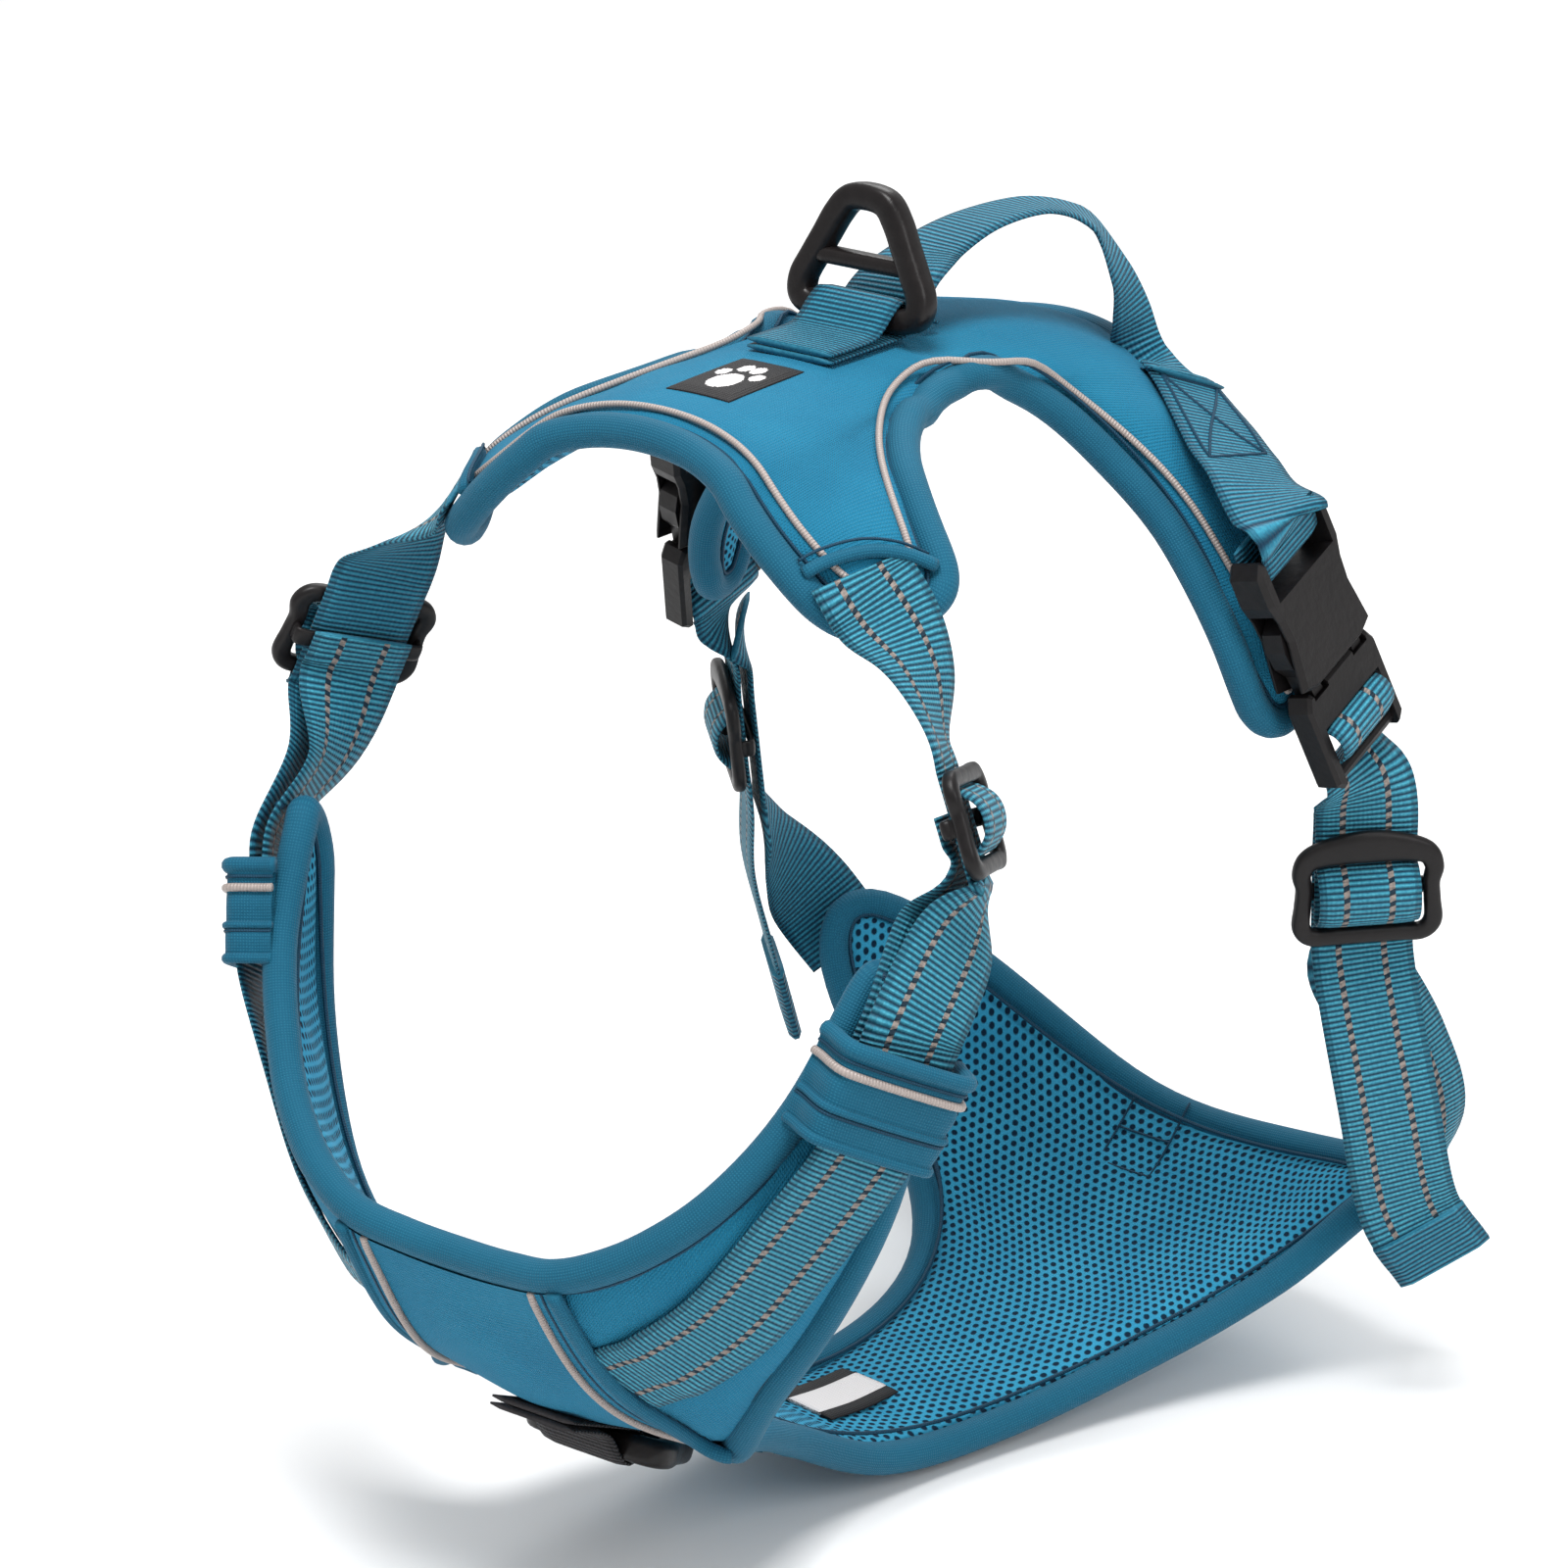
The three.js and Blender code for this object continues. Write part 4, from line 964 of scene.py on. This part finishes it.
def keeper(side):
    """A cloth band sewn down at both ends over the neck strap, hemmed, with silver piping."""
    at, x, _, z = local(*KEEPERS[side])
    section = curve([(-17.5, 1.5), (-16.6, 4.5), (-16.2, 9.5), (-14.6, 12.4), (-9, 13.3), (0, 13.6),
                     (9, 13.3), (14.6, 12.4), (16.2, 9.5), (16.6, 4.5), (17.5, 1.5)],
                    np.linspace(0, 1, 41))
    index = np.arange(41)
    tangent = unit(section[np.minimum(index + 1, 40)] - section[np.maximum(index - 1, 0)])
    ways = np.stack([-tangent[:, 1], tangent[:, 0]], axis=1)
    rows = np.linspace(-11, 11, 23)
    vertices = []
    for layer in (0.7, -0.7):
        for row in rows:
            swell = 1 + 0.02 * math.sin(row * 0.8)
            for (u, w), way in zip(section, ways):
                vertices.append(at((u * swell + way[0] * layer, row, w + way[1] * layer)))
    flat = np.stack(np.meshgrid(lengths(section), rows), axis=-1)
    piece = two_faced(side + "_keeper_band", vertices, flat, EDGE, 0)
    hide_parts(side + "_keeper")
    out = [x * way[0] + z * way[1] for way in ways]
    for label, row, radius, material, lift in (
            ("top_hem", 11, 1.9, EDGE, 0.3), ("bottom_hem", -11, 1.3, EDGE, 0.2),
            ("fold", -3.2, 0.9, EDGE, 0.7), ("fold_seam", -4.6, THREAD_RADIUS, THREAD, 0.8),
            ("hem_seam", 8.2, THREAD_RADIUS, THREAD, 0.8), ("piping", 5.6, 1.0, SILVER, 1.0)):
        line = [at((u, row, w)) for u, w in section + ways * lift]
        tube(f"{side}_keeper_{label}", line, out, radius, material, sides=10)


for side, _ in SIDES:
    keeper(side)


# ---- pocket mouths, chest overlay and sewn lines ----
def laid(pad, places, lift, side=1, steps=24):
    """A smooth line on a pad's face through places, with the directions it faces."""
    line, out = [], []
    for p in curve(places, np.linspace(0, 1, steps)):
        k = int(np.argmin(np.linalg.norm(pad.net - p, axis=1)))
        normal = pad.normals[k]
        flat = p - normal * ((p - pad.net[k]) @ normal)
        line.append(flat + normal * side * (HALF_PAD + lift))
        out.append(normal * side)
    return np.array(line), np.array(out)


MOUTH = [(49, -56, 76.5), (53, -51, 79.5), (58, -44, 81.5), (62, -37, 79.5), (66, -30, 75)]
for side, sign in SIDES:
    line, out = laid(BACK, [(sign * x, y, z) for x, y, z in MOUTH], 0)
    rise = 2.6 * np.sin(np.linspace(0, math.pi, len(line))) ** 0.6
    tube(side + "_pocket_hem", line + out * rise[:, None], out, 1.6, EDGE, sides=10)
    seam = line + out * (rise + 1.0)[:, None] + np.array([-sign * 2.2, 0, 2.0])
    tube(side + "_pocket_seam", seam, out, THREAD_RADIUS, THREAD, sides=6)


def half_width(v):
    """The overlay's half width at v down the chest, as a share of the chest's width."""
    return 0.158 + 0.075 * v - 0.032 * math.sin(math.pi * v)


def fullness(v):
    """0 at the overlay's top and bottom hems, and 1 between them."""
    return max(0.0, math.sin(math.pi * (v - 0.05) / 0.9)) ** 0.5


def overlay():
    """The chest's middle panel: it starts over the neck straps' ends and lies on the cover."""
    n, m = 60, 24
    vertices = []
    for layer in (0, 1):
        for i in range(n + 1):
            s = 2 * i / n - 1
            for v in np.linspace(0.05, 0.95, m + 1):
                lift = 0.5 + (0.6 + 2.1 * abs(s) ** 5) * fullness(v) - 1.1 * layer
                vertices.append(chest_at(0.5 + s * half_width(v), v, lift)[0])
    flat = np.stack(np.meshgrid(np.arange(n + 1) * 1.6, np.arange(m + 1) * 3.6, indexing="ij"),
                    axis=-1)
    two_faced("chest_overlay", vertices, flat, OXFORD, 1)
    for side, sign in SIDES:
        for label, shift, lift, radius, material, sides in (
                ("lip", 0.0, 1.5, 1.9, EDGE, 12), ("lip_seam", -0.018, 1.7, 0.45, THREAD, 6),
                ("piping", -0.034, 1.9, 1.0, SILVER, 8)):
            line, out = zip(*(chest_at(0.5 + sign * (half_width(v) + shift), v,
                                       0.4 + lift * fullness(v))
                              for v in np.linspace(0.05, 0.95, 40)))
            tube(f"{side}_overlay_{label}", line, out, radius, material, sides=sides)


overlay()

# the belly lining's sewn box, over the strap ends inside
for label, ends in (("left", [(-2, 137, -146), (-2, 155, -134)]),
                    ("right", [(14, 137, -146), (14, 157, -133)]),
                    ("low", [(-2, 137, -146), (14, 137, -146)]),
                    ("middle", [(-2, 147, -140), (14, 147, -140)])):
    line, out = laid(LOWER, ends, 1.0, -1, 12)
    tube("lining_box_" + label, line, out, 0.35, THREAD, sides=6)


def box_stitch(name, stops, start, end, lift, width=19.0):
    """A sewn box with its cross on a strap, between two places along it."""
    stops = np.asarray(stops, float)
    t = np.linspace(start, end, 12)
    line = curve(stops[:, :3], t)
    along = unit(np.gradient(line, axis=0))
    wide = unit(curve(stops[:, 3:], t))
    normal = np.cross(along, wide)
    sweep = np.linspace(-0.5, 0.5, 12)
    for key, u in (("a", np.full(12, -0.5)), ("b", np.full(12, 0.5)), ("c", sweep),
                   ("d", -sweep)):
        tube(f"{name}_{key}", line + wide * (u * width)[:, None] + normal * lift, normal,
             THREAD_RADIUS, THREAD, sides=6)
    for key, k in (("e", 0), ("f", 11)):
        tube(f"{name}_{key}", line[k] + wide[k] * (sweep * width)[:, None] + normal[k] * lift,
             np.tile(normal[k], (12, 1)), THREAD_RADIUS, THREAD, sides=6)


for side, _ in SIDES:
    box_stitch(side + "_rear_box", STRAPS[side + "_rear_webbing"], 0.04, 0.27, 0.85)
    # the tail's folded end is the last 0.715 of the 7 spans between its stops
    end = curve(STRAPS[side + "_girth_tail"], np.linspace(1 - 0.715 / 7, 1, 4))
    ribbon(side + "_tail_hem", end, [WEB_BACK, WEB_BACK], width=25.6, thickness=3.6,
           body=side + "_plug")

# ---- patch and care label ----
def badge(name, node, pad, corners, lift, materials, figure):
    """A woven panel laid on a pad between four corners, with a plain figure on it."""
    a, b, c, d = (np.asarray(p, float) for p in corners)
    n = 56
    vertices, faces, uv, slots = [], [], [], []
    for i in range(n + 1):
        for j in range(n + 1):
            s, t = i / n, j / n
            p = (a * (1 - s) + b * s) * (1 - t) + (d * (1 - s) + c * s) * t
            place, normal = pad.seat(p, 0)
            edge = min(s, 1 - s, t, 1 - t)
            vertices.append(place + normal * (lift + 0.5 * min(1, edge * 9)))
            uv.append((s * np.linalg.norm(b - a) / 1000, t * np.linalg.norm(d - a) / 1000))
    corner_uv = []
    for i in range(n):
        for j in range(n):
            quad = [i * (n + 1) + j, (i + 1) * (n + 1) + j, (i + 1) * (n + 1) + j + 1,
                    i * (n + 1) + j + 1]
            faces.append(quad)
            corner_uv += [uv[k] for k in quad]
            slots.append(1 if figure((i + 0.5) / n, (j + 0.5) / n) else 0)
    piece = make(name, vertices, faces, materials, corner_uv, slots)
    thick = piece.modifiers.new("thickness", "SOLIDIFY")
    thick.thickness = 0.0008
    thick.offset = 0
    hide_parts(node)


def paw(s, t):
    pads = [(0.5, 0.36, 0.2), (0.24, 0.56, 0.09), (0.41, 0.72, 0.095), (0.6, 0.72, 0.095),
            (0.77, 0.56, 0.09)]
    return any((s - u) ** 2 + (t - v) ** 2 < r * r for u, v, r in pads)


badge("back_patch_woven", "back_patch", BACK,
      [(-9, -32, 102), (9, -32, 102), (9, -4, 104), (-9, -4, 104)], 0.5,
      [PATCH_CLOTH, WHITE], paw)

# the care label lies inside, on the lining's side
label_stops = [(3.2, 3.7, -163.5, 1, -0.02, -0.1), (3.2, 17.3, -165.6, 1, -0.01, -0.1),
               (3.2, 31, -166.6, 1, 0, -0.07)]
label = ribbon("care_label_woven", label_stops, [PATCH_CLOTH, PATCH_CLOTH], width=18,
               thickness=0.7)
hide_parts("care_label")
ribbon("care_label_panel", label_stops, [WHITE, WHITE], width=11, thickness=1.1)

# ---- studio ----
scene = bpy.context.scene
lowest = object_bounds()[0][2]

bpy.ops.mesh.primitive_plane_add(size=60, location=(0, 0, lowest - 0.002))
floor = bpy.context.object
floor.name = "studio_floor"
paper = bpy.data.materials.new("pale_paper")
paper.use_nodes = True
shader = paper.node_tree.nodes["Principled BSDF"]
shader.inputs["Base Color"].default_value = (0.86, 0.86, 0.86, 1)
shader.inputs["Roughness"].default_value = 0.9
floor.data.materials.append(paper)

world = bpy.data.worlds.new("studio")
world.use_nodes = True
world.node_tree.nodes["Background"].inputs[0].default_value = (1, 1, 1, 1)
world.node_tree.nodes["Background"].inputs[1].default_value = 0.62
scene.world = world


def lamp(name, place, aim, power, size):
    data = bpy.data.lights.new(name, "AREA")
    data.energy = power
    data.size = size
    thing = bpy.data.objects.new(name, data)
    thing.location = place
    thing.rotation_euler = (Vector(aim) - Vector(place)).to_track_quat("-Z", "Y").to_euler()
    scene.collection.objects.link(thing)


lamp("key", (0.2, -0.5, 1.9), (0, 0, 0), 40, 0.8)
lamp("side", (1.5, -0.2, 0.9), (0, 0, 0), 9, 0.9)
lamp("back", (-0.7, 1.2, 1.3), (0, 0, 0), 12, 0.9)

camera = bpy.data.cameras.new("photo_view")
camera.lens = 145.1
camera.sensor_width = 36
eye = bpy.data.objects.new("photo_view", camera)
azimuth, elevation, distance = math.radians(38), math.radians(20), 1.5
back = Vector((math.sin(azimuth) * math.cos(elevation), -math.cos(azimuth) * math.cos(elevation),
               math.sin(elevation)))
eye.location = back * distance
eye.rotation_euler = (-back).to_track_quat("-Z", "Y").to_euler()
scene.collection.objects.link(eye)
scene.camera = eye
scene.view_settings.view_transform = "Standard"
